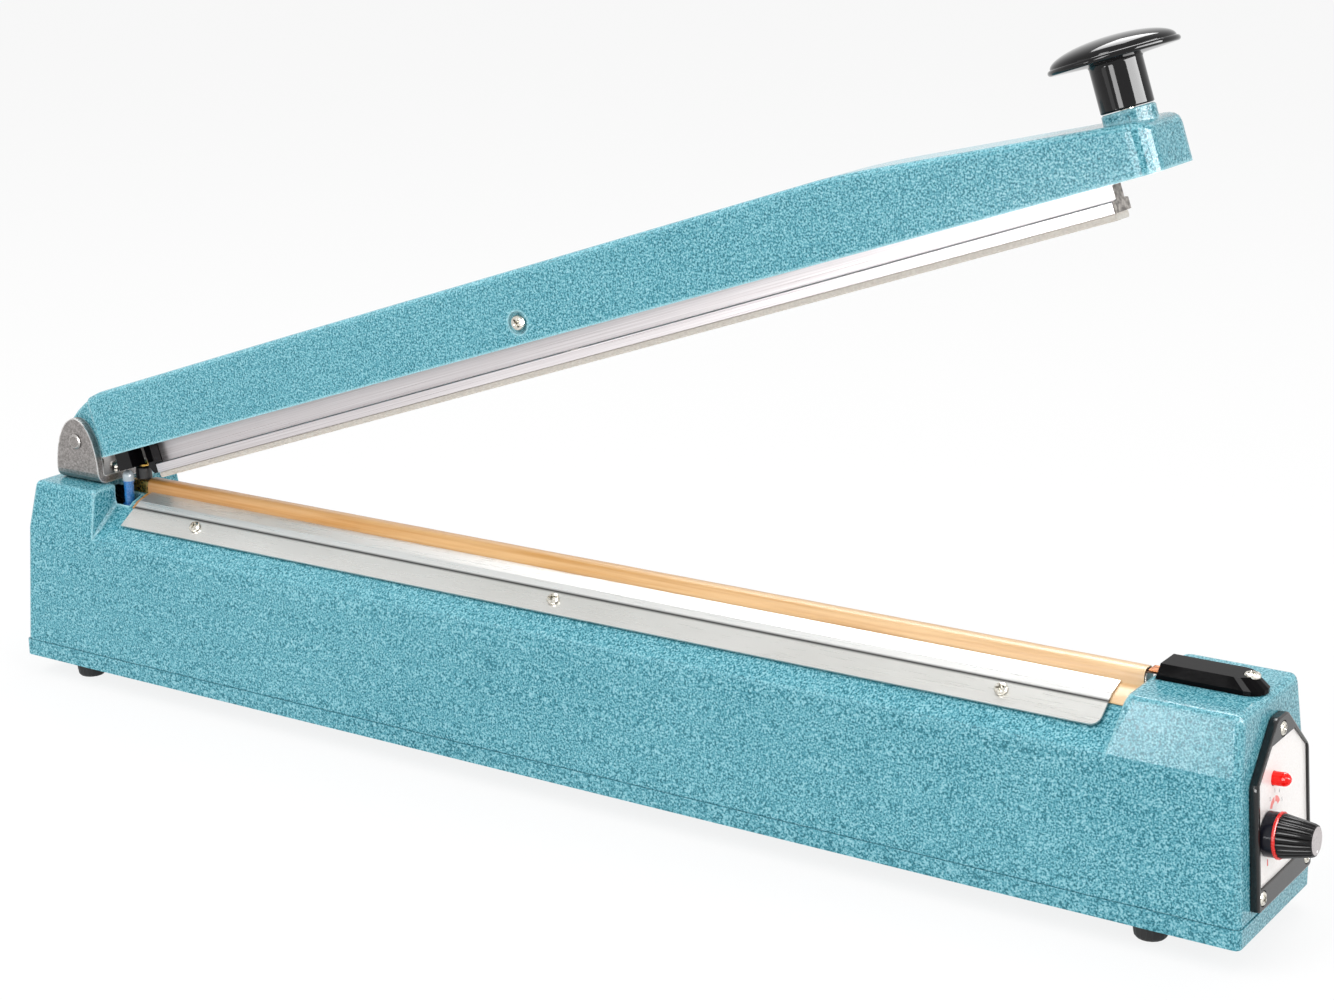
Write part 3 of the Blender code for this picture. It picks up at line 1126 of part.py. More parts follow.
def make_gland(housing, black):
    tilt = math.atan2(SIDE_LEAN, CREASE_HEIGHT - TRAY_HEIGHT)
    axis = bpy.data.objects.new("gland_axis", None)
    bpy.context.scene.collection.objects.link(axis)
    axis.location = (along(GLAND_X), wall_half(GLAND_Z), bench(GLAND_Z))
    axis.rotation_euler = (tilt - math.pi / 2, 0.0, 0.0)
    body = GLAND_RADIUS - 0.0022
    profile = [(GLAND_BORE, -HOUSING_WALL - 0.004), (body, -HOUSING_WALL - 0.004), (body, GAP),
               (GLAND_RADIUS, GAP), (GLAND_RADIUS, 0.0016), (body + 0.0004, 0.0022),
               (body - 0.0006, GLAND_REACH), (GLAND_BORE, GLAND_REACH)]
    finish_mesh("cable_gland", tube_shape(profile, 20), black, axis)
    cut(housing, "gland_hole", turned([(body + GAP, -HOUSING_WALL - CUT * 2), (body + GAP, CUT)], 20), axis)


# ---------------------------------------------------------------- the whole sealer
def main():
    for old in list(bpy.data.objects):
        bpy.data.objects.remove(old, do_unlink=True)
    paint = material("hammer_paint", (0.16, 0.46, 0.54), 0.35)
    steel = material("bright_steel", (0.72, 0.72, 0.73), 0.22, 1.0)
    zinc = material("zinc_steel", (0.66, 0.66, 0.64), 0.35, 1.0)
    aluminium = material("mill_aluminium", (0.80, 0.80, 0.80), 0.35, 1.0)
    black = material("gloss_black_plastic", (0.012, 0.012, 0.013), 0.18)
    soft_black = material("black_rubber", (0.02, 0.02, 0.02), 0.7)
    silicone = material("silicone_rubber", (0.66, 0.62, 0.56), 0.55)
    cloth = material("ptfe_cloth", (0.62, 0.36, 0.13), 0.45)
    brown = material("mica_brown", (0.30, 0.17, 0.08), 0.6)
    nichrome = material("nichrome", (0.45, 0.42, 0.40), 0.4, 1.0)
    brass = material("brass", (0.78, 0.57, 0.25), 0.3, 1.0)
    copper = material("copper", (0.80, 0.42, 0.25), 0.3, 1.0)
    red = material("red_lens", (0.75, 0.02, 0.02), 0.15)
    blue = material("blue_plastic", (0.05, 0.22, 0.55), 0.4)
    green = material("board_green", (0.03, 0.22, 0.08), 0.5)
    cream = material("cream_plastic", (0.72, 0.68, 0.58), 0.5)

    housing = make_housing(paint)
    add_lugs(housing)
    add_shelves(housing)
    make_tray(paint)
    make_feet(soft_black, zinc)
    make_jaw(aluminium, brown, nichrome, cloth)
    make_cover_plates(housing, steel, zinc)
    make_left_electrode(brass, black)
    make_right_electrode(housing, copper, black, zinc)
    make_hinge(housing, steel, zinc)
    arm_axis = frame_empty("arm_axis", (along(PIN_X), 0.0, bench(PIN_HEIGHT)), OPEN_ANGLE)
    make_arm(arm_axis, paint)
    make_arm_fittings(arm_axis, black, zinc)
    bar_axis = frame_empty("bar_axis", (BAR_PIVOT_U, 0.0, BAR_PIVOT_V), BAR_REST_TILT, arm_axis)
    make_pressure_bar(bar_axis, aluminium, silicone, black, zinc)
    make_rod(blue, zinc)
    make_switch(black, red)
    panel, knob_centre, floor = make_panel(housing, black, zinc, red)
    make_timer(panel, knob_centre, floor, black, zinc, green)
    make_transformer(zinc, copper)
    make_terminals(cream)
    make_gland(housing, soft_black)

    bpy.context.view_layer.update()
    print("pin", [round(c, 6) for c in arm_axis.matrix_world.translation])
    print("bar pivot", [round(c, 6) for c in bar_axis.matrix_world.translation])
    print("knob axis", [round(c, 6) for c in (panel.matrix_world @ Vector(knob_centre))])
    print("closing degrees", round(math.degrees(CLOSING), 4))
    print("rock degrees", round(math.degrees(CLOSED_TILT + BAR_REST_TILT), 4))
    print("panel tilt", round(math.degrees(PANEL_TILT), 4))
    print("rod travel", round(ROD_TRAVEL, 6))
    print("rod tip", round(bench(ROD_TIP), 6))
    print("guide top", round(bench(GUIDE_TOP), 6))


main()
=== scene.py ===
"""Looks of the impulse heat sealer: finishes, printed panel, cloth, screws, camera and light."""
import json
import math

import bmesh
import bpy
import numpy as np
from mathutils import Matrix, Vector
from mathutils.noise import noise

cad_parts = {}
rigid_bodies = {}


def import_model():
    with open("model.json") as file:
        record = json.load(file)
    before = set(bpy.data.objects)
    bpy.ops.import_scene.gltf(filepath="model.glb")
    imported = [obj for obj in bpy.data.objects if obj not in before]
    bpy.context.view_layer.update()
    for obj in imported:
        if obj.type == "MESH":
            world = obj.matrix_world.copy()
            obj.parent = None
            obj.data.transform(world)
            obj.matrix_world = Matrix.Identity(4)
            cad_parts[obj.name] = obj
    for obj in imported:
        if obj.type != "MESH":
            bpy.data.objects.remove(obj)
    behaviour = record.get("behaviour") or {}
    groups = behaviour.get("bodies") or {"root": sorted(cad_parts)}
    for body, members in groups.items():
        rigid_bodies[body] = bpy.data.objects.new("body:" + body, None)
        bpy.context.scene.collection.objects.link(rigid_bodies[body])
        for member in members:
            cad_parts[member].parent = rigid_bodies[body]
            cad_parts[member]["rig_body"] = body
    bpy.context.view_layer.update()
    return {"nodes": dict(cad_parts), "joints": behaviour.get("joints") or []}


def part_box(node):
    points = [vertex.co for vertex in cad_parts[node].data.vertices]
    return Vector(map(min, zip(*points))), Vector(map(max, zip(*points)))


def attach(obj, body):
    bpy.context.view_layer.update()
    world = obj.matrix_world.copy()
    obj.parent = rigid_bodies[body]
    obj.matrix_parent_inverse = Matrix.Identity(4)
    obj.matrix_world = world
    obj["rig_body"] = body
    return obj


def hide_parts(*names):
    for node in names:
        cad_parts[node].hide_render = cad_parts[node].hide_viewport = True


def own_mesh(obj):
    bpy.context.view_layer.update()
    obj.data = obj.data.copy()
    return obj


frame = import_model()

NODES = frame["nodes"]
MM = 0.001
UPWARD = Vector((0.0, 0.0, 1.0))
LENGTHWISE = Vector((1.0, 0.0, 0.0))
REARWARD = Vector((0.0, 1.0, 0.0))

# ---------------------------------------------------------------- places taken from the frame
TRAY_LOW, TRAY_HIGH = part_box("base_tray")
JOINTS = {joint["name"]: joint for joint in frame["joints"]}
KNOB_CENTRE = Vector(JOINTS["timer_turn"]["pos_m"])
KNOB_AXIS = Vector(JOINTS["timer_turn"]["axis"]).normalized()


# ---------------------------------------------------------------- colour and shader helpers
MIDDLE_LOW = 0.3              # a noise's middle range, where most of its values lie
MIDDLE_HIGH = 0.7
WAVE_SCALE = 0.31831          # wave texture scale that gives about one wave to a metre
BEVEL_SAMPLES = 4
FACE_COSINE = 0.985           # cosine between rounded and plain normal that still counts as a face
EDGE_COSINE = 0.86            # cosine at which it is all edge


def linear(code):
    """The linear colour of an sRGB hex code."""
    values = [int(code[i:i + 2], 16) / 255 for i in (0, 2, 4)]
    return (*[v / 12.92 if v <= 0.04045 else ((v + 0.055) / 1.055) ** 2.4 for v in values], 1.0)


class Finish:
    """One material: a Principled shader with the textures that feed it, in metres of the object.

    The colour and roughness it starts with are plain ones, which most finishes then replace by textures.
    """

    def __init__(self, name, colour, roughness, metallic=0.0):
        self.material = bpy.data.materials.new(name)
        self.material.use_nodes = True
        self.tree = self.material.node_tree
        self.shader = self.tree.nodes["Principled BSDF"]
        self.place = self.add("ShaderNodeTexCoord").outputs["Object"]
        self.put("Base Color", linear(colour))
        self.put("Roughness", roughness)
        self.put("Metallic", metallic)

    def add(self, kind, **inputs):
        """A new node, with a value or a link for each input named."""
        node = self.tree.nodes.new(kind)
        for name, value in inputs.items():
            self.feed(node.inputs[name], value)
        return node

    def feed(self, socket, value):
        """Link a socket to another one, or set it to a value."""
        if isinstance(value, bpy.types.NodeSocket):
            self.tree.links.new(value, socket)
        else:
            socket.default_value = value

    def put(self, socket, value):
        """Feed one of the shader's own sockets."""
        self.feed(self.shader.inputs[socket], value)

    # textures
    def grain(self, size, detail=2.0, stretch=(1.0, 1.0, 1.0), rough=0.5, slope=0.0):
        """Noise with features of that size in metres, stretched along axes turned about Y by the slope."""
        place = self.add("ShaderNodeMapping", Vector=self.place)
        place.vector_type = "TEXTURE"
        place.inputs["Rotation"].default_value = (0.0, slope, 0.0)
        place.inputs["Scale"].default_value = stretch
        node = self.add("ShaderNodeTexNoise", Vector=place.outputs[0], Scale=1 / size, Detail=detail)
        node.inputs["Roughness"].default_value = rough
        return node.outputs[0]

    def cells(self, size):
        """Soft rounded cells of that size in metres."""
        node = self.add("ShaderNodeTexVoronoi", Vector=self.place, Scale=1 / size)
        node.feature = "SMOOTH_F1"
        return node.outputs[0]

    def ribs(self, size, axis):
        """Even waves along one axis."""
        node = self.add("ShaderNodeTexWave", Vector=self.place, Scale=WAVE_SCALE / size)
        node.bands_direction = axis
        return node.outputs[1]

    # shares from 0 to 1
    def dot(self, first, second):
        node = self.add("ShaderNodeVectorMath")
        node.operation = "DOT_PRODUCT"
        self.feed(node.inputs[0], first)
        self.feed(node.inputs[1], second)
        return node.outputs["Value"]

    def share(self, value, start, end):
        """0 where the value is start, 1 where it is end."""
        node = self.add("ShaderNodeMapRange", Value=value)
        node.inputs["From Min"].default_value = start
        node.inputs["From Max"].default_value = end
        return node.outputs[0]

    def along(self, axis, start, end):
        """0 at start and 1 at end, measured along a direction."""
        return self.share(self.dot(self.place, axis), start, end)

    def times(self, first, second):
        node = self.add("ShaderNodeMath")
        node.operation = "MULTIPLY"
        self.feed(node.inputs[0], first)
        self.feed(node.inputs[1], second)
        return node.outputs[0]

    def bell(self, axis, middle, half):
        """1 at the middle, falling to 0 at half a width to either side, measured along a direction."""
        return self.times(self.along(axis, middle - half, middle), self.along(axis, middle + half, middle))

    def edges(self, radius):
        """1 on edges, 0 on faces."""
        bevel = self.add("ShaderNodeBevel", Radius=radius)
        bevel.samples = BEVEL_SAMPLES
        plain = self.add("ShaderNodeNewGeometry").outputs["Normal"]
        return self.share(self.dot(bevel.outputs[0], plain), FACE_COSINE, EDGE_COSINE)

    # values and colours
    def levels(self, source, low, high):
        """The source's middle range as values from low to high."""
        node = self.add("ShaderNodeMapRange", Value=source)
        node.inputs["From Min"].default_value = MIDDLE_LOW
        node.inputs["From Max"].default_value = MIDDLE_HIGH
        node.inputs["To Min"].default_value = low
        node.inputs["To Max"].default_value = high
        return node.outputs[0]

    def ramp(self, source, *stops):
        """Colours at shares of the source, each stop a (share, hex code) pair."""
        node = self.add("ShaderNodeValToRGB", Fac=source)
        for share, _ in stops[2:]:
            node.color_ramp.elements.new(share)
        for element, (share, code) in zip(node.color_ramp.elements, stops):
            element.position = share
            element.color = linear(code)
        return node.outputs[0]

    def blend(self, share, first, second):
        """A colour from first to second by the share."""
        node = self.add("ShaderNodeMix")
        node.data_type = "RGBA"
        colours = [socket for socket in node.inputs if socket.type == "RGBA"]
        self.feed(node.inputs[0], share)
        self.feed(colours[0], first)
        self.feed(colours[1], second)
        return [socket for socket in node.outputs if socket.type == "RGBA"][0]

    # what the shader gets
    def mottle(self, source, dark, light):
        """Base colour from dark to light over the source's middle range."""
        self.put("Base Color", self.ramp(source, (MIDDLE_LOW, dark), (MIDDLE_HIGH, light)))

    def trim(self, radius, face, code):
        """Base colour of the face, with edges of another colour."""
        self.put("Base Color", self.blend(self.edges(radius), face, linear(code)))

    def roughen(self, source, low, high):
        """Roughness from low to high over the source's middle range."""
        self.put("Roughness", self.levels(source, low, high))

    def coat(self, weight, roughness=None):
        """A clear coat, as rough as the shader's default if no roughness is given."""
        self.put("Coat Weight", weight)
        if roughness is not None:
            self.put("Coat Roughness", roughness)

    def bump(self, *layers):
        """Bumps one on another, each layer a (height, depth in metres) pair."""
        normal = None
        for height, depth in layers:
            node = self.add("ShaderNodeBump", Height=height, Distance=depth)
            if normal is not None:
                self.feed(node.inputs["Normal"], normal)
            normal = node.outputs[0]
        self.put("Normal", normal)
        return self


# ---------------------------------------------------------------- finishes
PAINT_SPECK = 0.82 * MM       # size of the paint's dimples
PAINT_CELL = 2.4 * MM         # size of the soft cells under them
PAINT_DRIFT = 70 * MM         # size of its slow change of tone
DRIFT_SHARE = 0.20
PAINT_EDGE = 2.2 * MM         # width of the painted highlight on the edges
SEAM_START = 2.0 * MM         # over the tray, the height where the painted edge highlight begins
SEAM_END = 5.0 * MM           # and the height where it is at full strength
BEND_SHARE = 0.60             # height of the cover plate's bend, as a share of the plate's height
# half width of the painted dark reflection in the bend
BEND_LINE = 0.75 * MM
BEND_BLUR = 0.1 * MM
CLOTH_WEAVE = 0.55 * MM
COLLAR_SHARE = 0.70           # where the sleeve's clear collar starts, as a share of its height
COLLAR_BLUR = 0.4 * MM


def hammer_paint():
    """Teal hammertone enamel: fine dark dimples in a paler skin, with a painted highlight on the edges."""
    look = Finish("hammertone_enamel", "6aa8b6", 0.32)
    speck = look.grain(PAINT_SPECK, rough=0.6)
    face = look.ramp(speck, (0.38, "085563"), (0.47, "438f9f"), (0.55, "70b1be"), (0.66, "a0d0d9"))
    drift = look.ramp(look.grain(PAINT_DRIFT), (0.35, "5096a5"), (0.65, "6aadba"))
    skin = look.blend(DRIFT_SHARE, face, drift)
    above_seam = look.along(UPWARD, TRAY_HIGH.z + SEAM_START, TRAY_HIGH.z + SEAM_END)
    # painted highlight: paler colour on the edges, from a little above the tray's seam
    painted_edge_highlight = look.times(look.edges(PAINT_EDGE), above_seam)
    look.put("Base Color", look.blend(painted_edge_highlight, skin, linear("a9d8e0")))
    look.roughen(speck, 0.09, 0.18)
    look.put("IOR", 1.36)
    return look.bump((speck, 0.07 * MM), (look.cells(PAINT_CELL), 0.02 * MM))


def plate_bend():
    """Level of the bend in the front cover plate."""
    levels = [vertex.co.z for vertex in NODES["front_cover_plate"].data.vertices]
    low, high = min(levels), max(levels)
    return low + (high - low) * BEND_SHARE


def polished_steel():
    """Bright cover plate with painted reflections: a whiter strip above the bend, a dark line in the bend."""
    look = Finish("polished_plate", "d9d7d3", 0.2, 0.8)
    lines = look.grain(0.35 * MM, stretch=(60.0, 1.0, 1.0))
    smear = look.grain(30 * MM, detail=3.0, stretch=(3.0, 1.0, 1.0))
    level = plate_bend()
    # painted reflection: the strip above the bend is whiter
    upper = look.along(UPWARD, level - BEND_BLUR, level + BEND_BLUR)
    lower = look.ramp(smear, (0.3, "cac9c5"), (0.7, "d8d7d4"))
    face = look.blend(upper, lower, linear("e6e5e3"))
    # painted reflection: a dark line along the bend
    painted_bend_reflection = look.bell(UPWARD, level, BEND_LINE)
    look.put("Base Color", look.blend(painted_bend_reflection, face, linear("050505")))
    look.roughen(lines, 0.26, 0.36)
    return look.bump((lines, 0.004 * MM))


def bracket_steel():
    """Grey tumbled steel with a painted highlight on its edges."""
    look = Finish("tumbled_bracket_steel", "8f8b89", 0.42, 0.85)
    pits = look.grain(0.9 * MM, detail=4.0, rough=0.7)
    face = look.ramp(pits, (0.30, "6b6765"), (0.50, "8d8987"), (0.70, "aeaaa7"))
    # painted highlight: near-white edges
    look.trim(1.3 * MM, face, "f4f3f1")
    look.roughen(pits, 0.28, 0.48)
    return look.bump((pits, 0.06 * MM))


def peened_pin():
    """The pin's end: the bracket's grey inside a painted highlight on its rim."""
    look = Finish("peened_pin_steel", "8f8b89", 0.36, 0.9)
    turned_lines = look.grain(0.5 * MM, detail=3.0)
    # painted highlight: a bright rim on the pin's end
    look.trim(0.8 * MM, look.ramp(turned_lines, (0.3, "7a7673"), (0.7, "a29e9b")), "f1efec")
    look.roughen(turned_lines, 0.26, 0.44)
    return look.bump((turned_lines, 0.03 * MM))


def zinc():
    """Bright zinc plate with painted shade on its edges."""
    look = Finish("zinc_plate", "cfcdc8", 0.2, 1.0)
    crystal = look.grain(0.8 * MM, detail=4.0)
    # painted shade: dark edges
    look.trim(0.35 * MM, look.ramp(crystal, (0.3, "b8b4ab"), (0.7, "eae6db")), "4a4640")
    look.roughen(crystal, 0.14, 0.30)
    return look.bump((crystal, 0.012 * MM))


def extruded(name, slope, dark, light):
    """Extruded aluminium: fine die lines along its length, which slopes about Y."""
    look = Finish(name, light, 0.34, 1.0)
    lines = look.grain(0.30 * MM, detail=3.0, stretch=(400.0, 1.0, 1.0), rough=0.6, slope=slope)
    look.mottle(lines, dark, light)
    look.roughen(lines, 0.26, 0.40)
    return look.bump((lines, 0.012 * MM))


def gloss_black(name="gloss_black", colour="0a090b", roughness=0.06, ior=1.30):
    """Moulded gloss plastic with a faint orange peel."""
    look = Finish(name, colour, roughness)
    look.roughen(look.grain(9 * MM, detail=4.0), roughness * 0.8, roughness * 1.5)
    look.put("IOR", ior)
    return look.bump((look.grain(2.5 * MM), 0.012 * MM))


def soft_rubber(name, dark, light, roughness, size):
    """Matt rubber or silicone with a dusty skin."""
    look = Finish(name, dark, roughness)
    skin = look.grain(size, detail=4.0, rough=0.6)
    look.mottle(skin, dark, light)
    look.roughen(skin, roughness - 0.08, min(1.0, roughness + 0.08))
    look.put("Sheen Weight", 0.15)
    return look.bump((skin, 0.03 * MM))


def moulded(name, dark, light, roughness=0.35):
    """A plain moulded plastic with a fine grain."""
    look = Finish(name, dark, roughness)
    grain = look.grain(0.6 * MM, detail=3.0)
    look.mottle(grain, dark, light)
    look.roughen(grain, roughness - 0.06, roughness + 0.08)
    return look.bump((grain, 0.02 * MM))


def soft_metal(name, dark, light, roughness=0.28):
    """Bare metal, such as turned brass or bright copper, a little tarnished."""
    look = Finish(name, light, roughness, 1.0)
    tarnish = look.grain(1.5 * MM, detail=4.0)
    look.put("Base Color", look.ramp(tarnish, (0.35, dark), (0.62, light)))
    look.roughen(tarnish, roughness - 0.08, roughness + 0.12)
    return look.bump((look.grain(0.2 * MM, stretch=(1.0, 8.0, 1.0)), 0.006 * MM))


def ptfe_cloth():
    """Glass cloth coated with PTFE: a fine weave under a waxy skin, browner at the hinge end."""
    look = Finish("ptfe_glass_cloth", "d09a4e", 0.36)
    low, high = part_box("jaw_cloth")
    length = look.along(LENGTHWISE, low.x, high.x)
    base = look.ramp(length, (0.0, "b97b2a"), (0.45, "c6934c"), (1.0, "d8b384"))
    streaks = look.grain(2.2 * MM, detail=4.0, stretch=(40.0, 1.0, 1.0))
    smoke = look.ramp(streaks, (0.35, "a8702c"), (0.60, "e6c69a"))
    look.put("Base Color", look.blend(0.30, base, smoke))
    look.roughen(look.grain(3 * MM, detail=3.0), 0.28, 0.44)
    look.coat(0.25, 0.22)
    warp = look.ribs(CLOTH_WEAVE, "X")
    weft = look.ribs(CLOTH_WEAVE, "Y")
    waves = look.grain(6 * MM, detail=3.0)
    return look.bump((warp, 0.018 * MM), (weft, 0.018 * MM), (waves, 0.08 * MM))


def red_lens():
    """Clear red plastic with a faint painted glow in it."""
    look = Finish("red_lens", "e01010", 0.10)
    swirl = look.grain(2 * MM)
    look.mottle(swirl, "cc0806", "e6140d")
    look.put("IOR", 1.38)
    # painted glow: a faint red emission, in the pilot lamp and the switch button
    look.put("Emission Color", linear("ff1408"))
    look.put("Emission Strength", 0.25)
    return look.bump((swirl, 0.01 * MM))


def sleeve_plastic():
    """Blue sleeve with a milky clear collar at its top."""
    look = Finish("rod_sleeve_plastic", "1f6fb2", 0.28)
    low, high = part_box("rod_sleeve")
    level = low.z + (high.z - low.z) * COLLAR_SHARE
    collar = look.along(UPWARD, level, level + COLLAR_BLUR)
    blue = look.ramp(look.grain(1.2 * MM, detail=3.0), (0.3, "1a62a6"), (0.7, "3585c9"))
    look.put("Base Color", look.blend(collar, blue, linear("a9b4bb")))
    look.roughen(look.grain(1 * MM), 0.2, 0.32)
    look.coat(0.5)
    return look


def label_white():
    """White printed foil under a clear coat."""
    look = Finish("printed_label", "f3efec", 0.30)
    fleck = look.grain(0.7 * MM, detail=3.0)
    look.mottle(fleck, "efeae6", "f9f6f4")
    look.coat(0.4, 0.12)
    return look.bump((fleck, 0.006 * MM))


def ink(name, colour):
    """Printing ink on the label, slightly uneven."""
    look = Finish(name, colour, 0.4)
    uneven = look.grain(0.5 * MM, detail=3.0)
    full = linear(colour)
    paler = [min(1.0, value * 1.25 + 0.01) for value in full[:3]] + [1.0]
    look.put("Base Color", look.blend(uneven, full, paler))
    return look.bump((uneven, 0.004 * MM))


def bar_slope():
    """Angle about Y that lays +X along the pressure bar."""
    points = np.array([vertex.co for vertex in NODES["pressure_bar"].data.vertices])
    length = odd_axis(np.cov(points.T))
    return -math.atan2(length.z, length.x)


def dress_nodes():
    """Give every CAD node the finish of its own piece, and zinc to each one not listed."""
    looks = (
        (hammer_paint(), ("base_tray", "housing", "arm")),
        (polished_steel(), ("front_cover_plate", "rear_cover_plate")),
        (bracket_steel(), ("hinge_bracket",)),
        (peened_pin(), ("hinge_pin",)),
        (extruded("jaw_aluminium", 0.0, "bcb8b4", "dad7d4"), ("jaw_bar",)),
        (extruded("bar_aluminium", bar_slope(), "b9b2b3", "dedadb"), ("pressure_bar",)),
        (gloss_black(), ("bar_end_block", "arm_pad")),
        (gloss_black("cover_black", "0a090a", 0.10, 1.14), ("electrode_cover",)),
        (gloss_black("bezel_black", "0c0b0c", 0.16, 1.55), ("panel_bezel",)),
        (moulded("switch_black", "0d0d0e", "19191b", 0.4), ("end_switch", "electrode_boot")),
        (soft_rubber("foot_rubber", "0e0e0f", "1c1c1d", 0.72, 0.8 * MM),
         ("foot_front_left", "foot_front_right", "foot_rear_left", "foot_rear_right", "cable_gland")),
        (soft_rubber("silicone_strip", "c3bbb0", "d8d1c7", 0.55, 1.4 * MM), ("bar_rubber",)),
        (soft_metal("brass", "9a7430", "d9b667"), ("electrode_foot", "electrode_screw")),
        (soft_metal("copper", "9c5a34", "dd9464"), ("electrode_strip", "transformer_coil")),
        (soft_metal("nichrome", "6b635c", "928a82", 0.36), ("heating_ribbon",)),
        (soft_metal("clip_steel", "4f4c49", "7b7773", 0.44), ("bar_end_clip",)),
        (moulded("mica", "4a2f18", "6a4526", 0.6), ("insulating_strip",)),
        (red_lens(), ("pilot_lamp", "switch_button")),
        (sleeve_plastic(), ("rod_sleeve",)),
        (moulded("circuit_board_green", "0d3a1c", "16522a", 0.4), ("timer_board",)),
        (moulded("terminal_cream", "c9c1ab", "ddd6c3", 0.45), ("terminal_block",)),
    )
    plain = zinc()
    chosen = {node: look for look, names in looks for node in names}
    for name, node in NODES.items():
        node.data.materials.clear()
        node.data.materials.append(chosen.get(name, plain).material)


# ---------------------------------------------------------------- mesh helpers
def shape_object(name, shape):
    """A new object in the scene with the bmesh as its mesh, its faces turned outward."""
    bmesh.ops.recalc_face_normals(shape, faces=shape.faces)
    mesh = bpy.data.meshes.new(name)
    shape.to_mesh(mesh)
    shape.free()
    thing = bpy.data.objects.new(name, mesh)
    bpy.context.scene.collection.objects.link(thing)
    return thing


def make_piece(name, shape, look, body, sharp=30.0):
    """Turn a bmesh into a piece that rides on a body; edges that turn more than sharp degrees stay sharp."""
    piece = shape_object(name, shape)
    piece.data.shade_smooth()
    piece.data.set_sharp_from_angle(angle=math.radians(sharp))
    piece.data.materials.append(look.material)
    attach(piece, body)
    return piece


def hidden_cutter(name, shape, body):
    """Turn a bmesh into a tool for boolean cuts, which isn't rendered and rides on a body."""
    tool = shape_object(name, shape)
    tool.hide_render = True
    tool.display_type = "WIRE"
    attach(tool, body)
    return tool


def cut(piece, tool, title, crosses_itself=False):
    """Take the tool out of the piece."""
    hole = piece.modifiers.new(title, "BOOLEAN")
    hole.object = tool
    hole.operation = "DIFFERENCE"
    hole.solver = "EXACT"
    hole.use_self = crosses_itself


def circle(radius, count):
    """Points of a circle about (0, 0)."""
    turns = [2 * math.pi * k / count for k in range(count)]
    return [(radius * math.cos(turn), radius * math.sin(turn)) for turn in turns]


def loft(rings):
    """A closed skin through rings of equal length, capped at both ends."""
    shape = bmesh.new()
    rows = [[shape.verts.new(point) for point in ring] for ring in rings]
    count = len(rows[0])
    for lower, upper in zip(rows, rows[1:]):
        for i in range(count):
            j = (i + 1) % count
            shape.faces.new((lower[i], lower[j], upper[j], upper[i]))
    shape.faces.new(list(reversed(rows[0])))
    shape.faces.new(rows[-1])
    return shape


def axis_frame(origin, axis):
    """A matrix at origin whose local +Z runs along axis and whose local +X is level, or nearly so."""
    z = axis.normalized()
    side = UPWARD if abs(z.z) < 0.9 else LENGTHWISE
    x = side.cross(z).normalized()
    matrix = Matrix((x, z.cross(x), z)).transposed().to_4x4()
    matrix.translation = origin
    return matrix


def odd_axis(spread):
    """The eigenvector of a symmetric matrix whose eigenvalue stands apart from the other two."""
    values, vectors = np.linalg.eigh(np.array(spread))
    lone = 2 if values[2] - values[1] > values[1] - values[0] else 0
    return Vector(vectors[:, lone]).normalized()


# ---------------------------------------------------------------- screws
HEAD_SPAN = 0.3               # share of a screw's length at either end whose widest radius is compared
CROSS_ARM = 0.62              # sizes of the recess's cutter, as shares of the head's radius
CROSS_HALF = 0.13
CROSS_DEPTH = 0.42
CROSS_ABOVE = 0.2
CROSS_TIP = 0.45              # its reach at the bottom, as a share of its arm
CROSS_MOUTH = 1.15            # its reach above the head, as a share of its arm
SCREW_TURNS = (0.35, 1.05, 0.72, 0.12, 1.32)  # radians, shared out so that the crosses don't line up
CROSS_SCREWS = ("front_plate_screw_1", "front_plate_screw_2", "front_plate_screw_3", "rear_plate_screw_1",
                "rear_plate_screw_2", "rear_plate_screw_3", "bezel_screw_top", "bezel_screw_front",
                "bezel_screw_rear", "electrode_cover_screw", "bracket_screw_1", "bracket_screw_2",
                "electrode_screw", "pivot_screw")


def screw_head(node):
    """(centre of the head's top, outward axis, head radius) of a turned screw."""
    points = [vertex.co.copy() for vertex in node.data.vertices]
    centre = sum(points, Vector()) / len(points)
    spread = Matrix([[sum((p[i] - centre[i]) * (p[j] - centre[j]) for p in points) for j in range(3)]
                     for i in range(3)])
    axis = odd_axis(spread)
    spans = [(p - centre).dot(axis) for p in points]
    low, high = min(spans), max(spans)

    def width(level):
        near = [p for p, span in zip(points, spans) if abs(span - level) < (high - low) * HEAD_SPAN]
        return max(((p - centre) - axis * (p - centre).dot(axis)).length for p in near)
    wide_low, wide_high = width(low), width(high)
    if wide_low > wide_high:
        return centre + axis * low, -axis, wide_low
    return centre + axis * high, axis, wide_high


def cross_cutter(name, centre, axis, radius, body):
    """Two tapered bars across each other, sunk into a screw's head."""
    arm = radius * CROSS_ARM
    half = radius * CROSS_HALF
    ends = ((-radius * CROSS_DEPTH, arm * CROSS_TIP), (radius * CROSS_ABOVE, arm * CROSS_MOUTH))
    place = axis_frame(centre, axis)
    place = place @ Matrix.Rotation(SCREW_TURNS[len(name) % len(SCREW_TURNS)], 4, "Z")
    shape = bmesh.new()
    for turn in (0.0, math.pi / 2):
        spin = Matrix.Rotation(turn, 4, "Z")
        rings = []
        for level, reach in ends:
            corners = ((-reach, -half), (reach, -half), (reach, half), (-reach, half))
            rings.append([place @ spin @ Vector((x, y, level)) for x, y in corners])
        bar = loft(rings)
        mesh = bpy.data.meshes.new("bar")
        bar.to_mesh(mesh)
        bar.free()
        shape.from_mesh(mesh)
        bpy.data.meshes.remove(mesh)
    return hidden_cutter(name, shape, body)


def cut_screws():
    """Cut a cross recess into each screw's head."""
    for name in CROSS_SCREWS:
        node = NODES[name]
        centre, axis, radius = screw_head(node)
        tool = cross_cutter(name + "_cross", centre, axis, radius, node["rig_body"])
        cut(node, tool, "cross", crosses_itself=True)


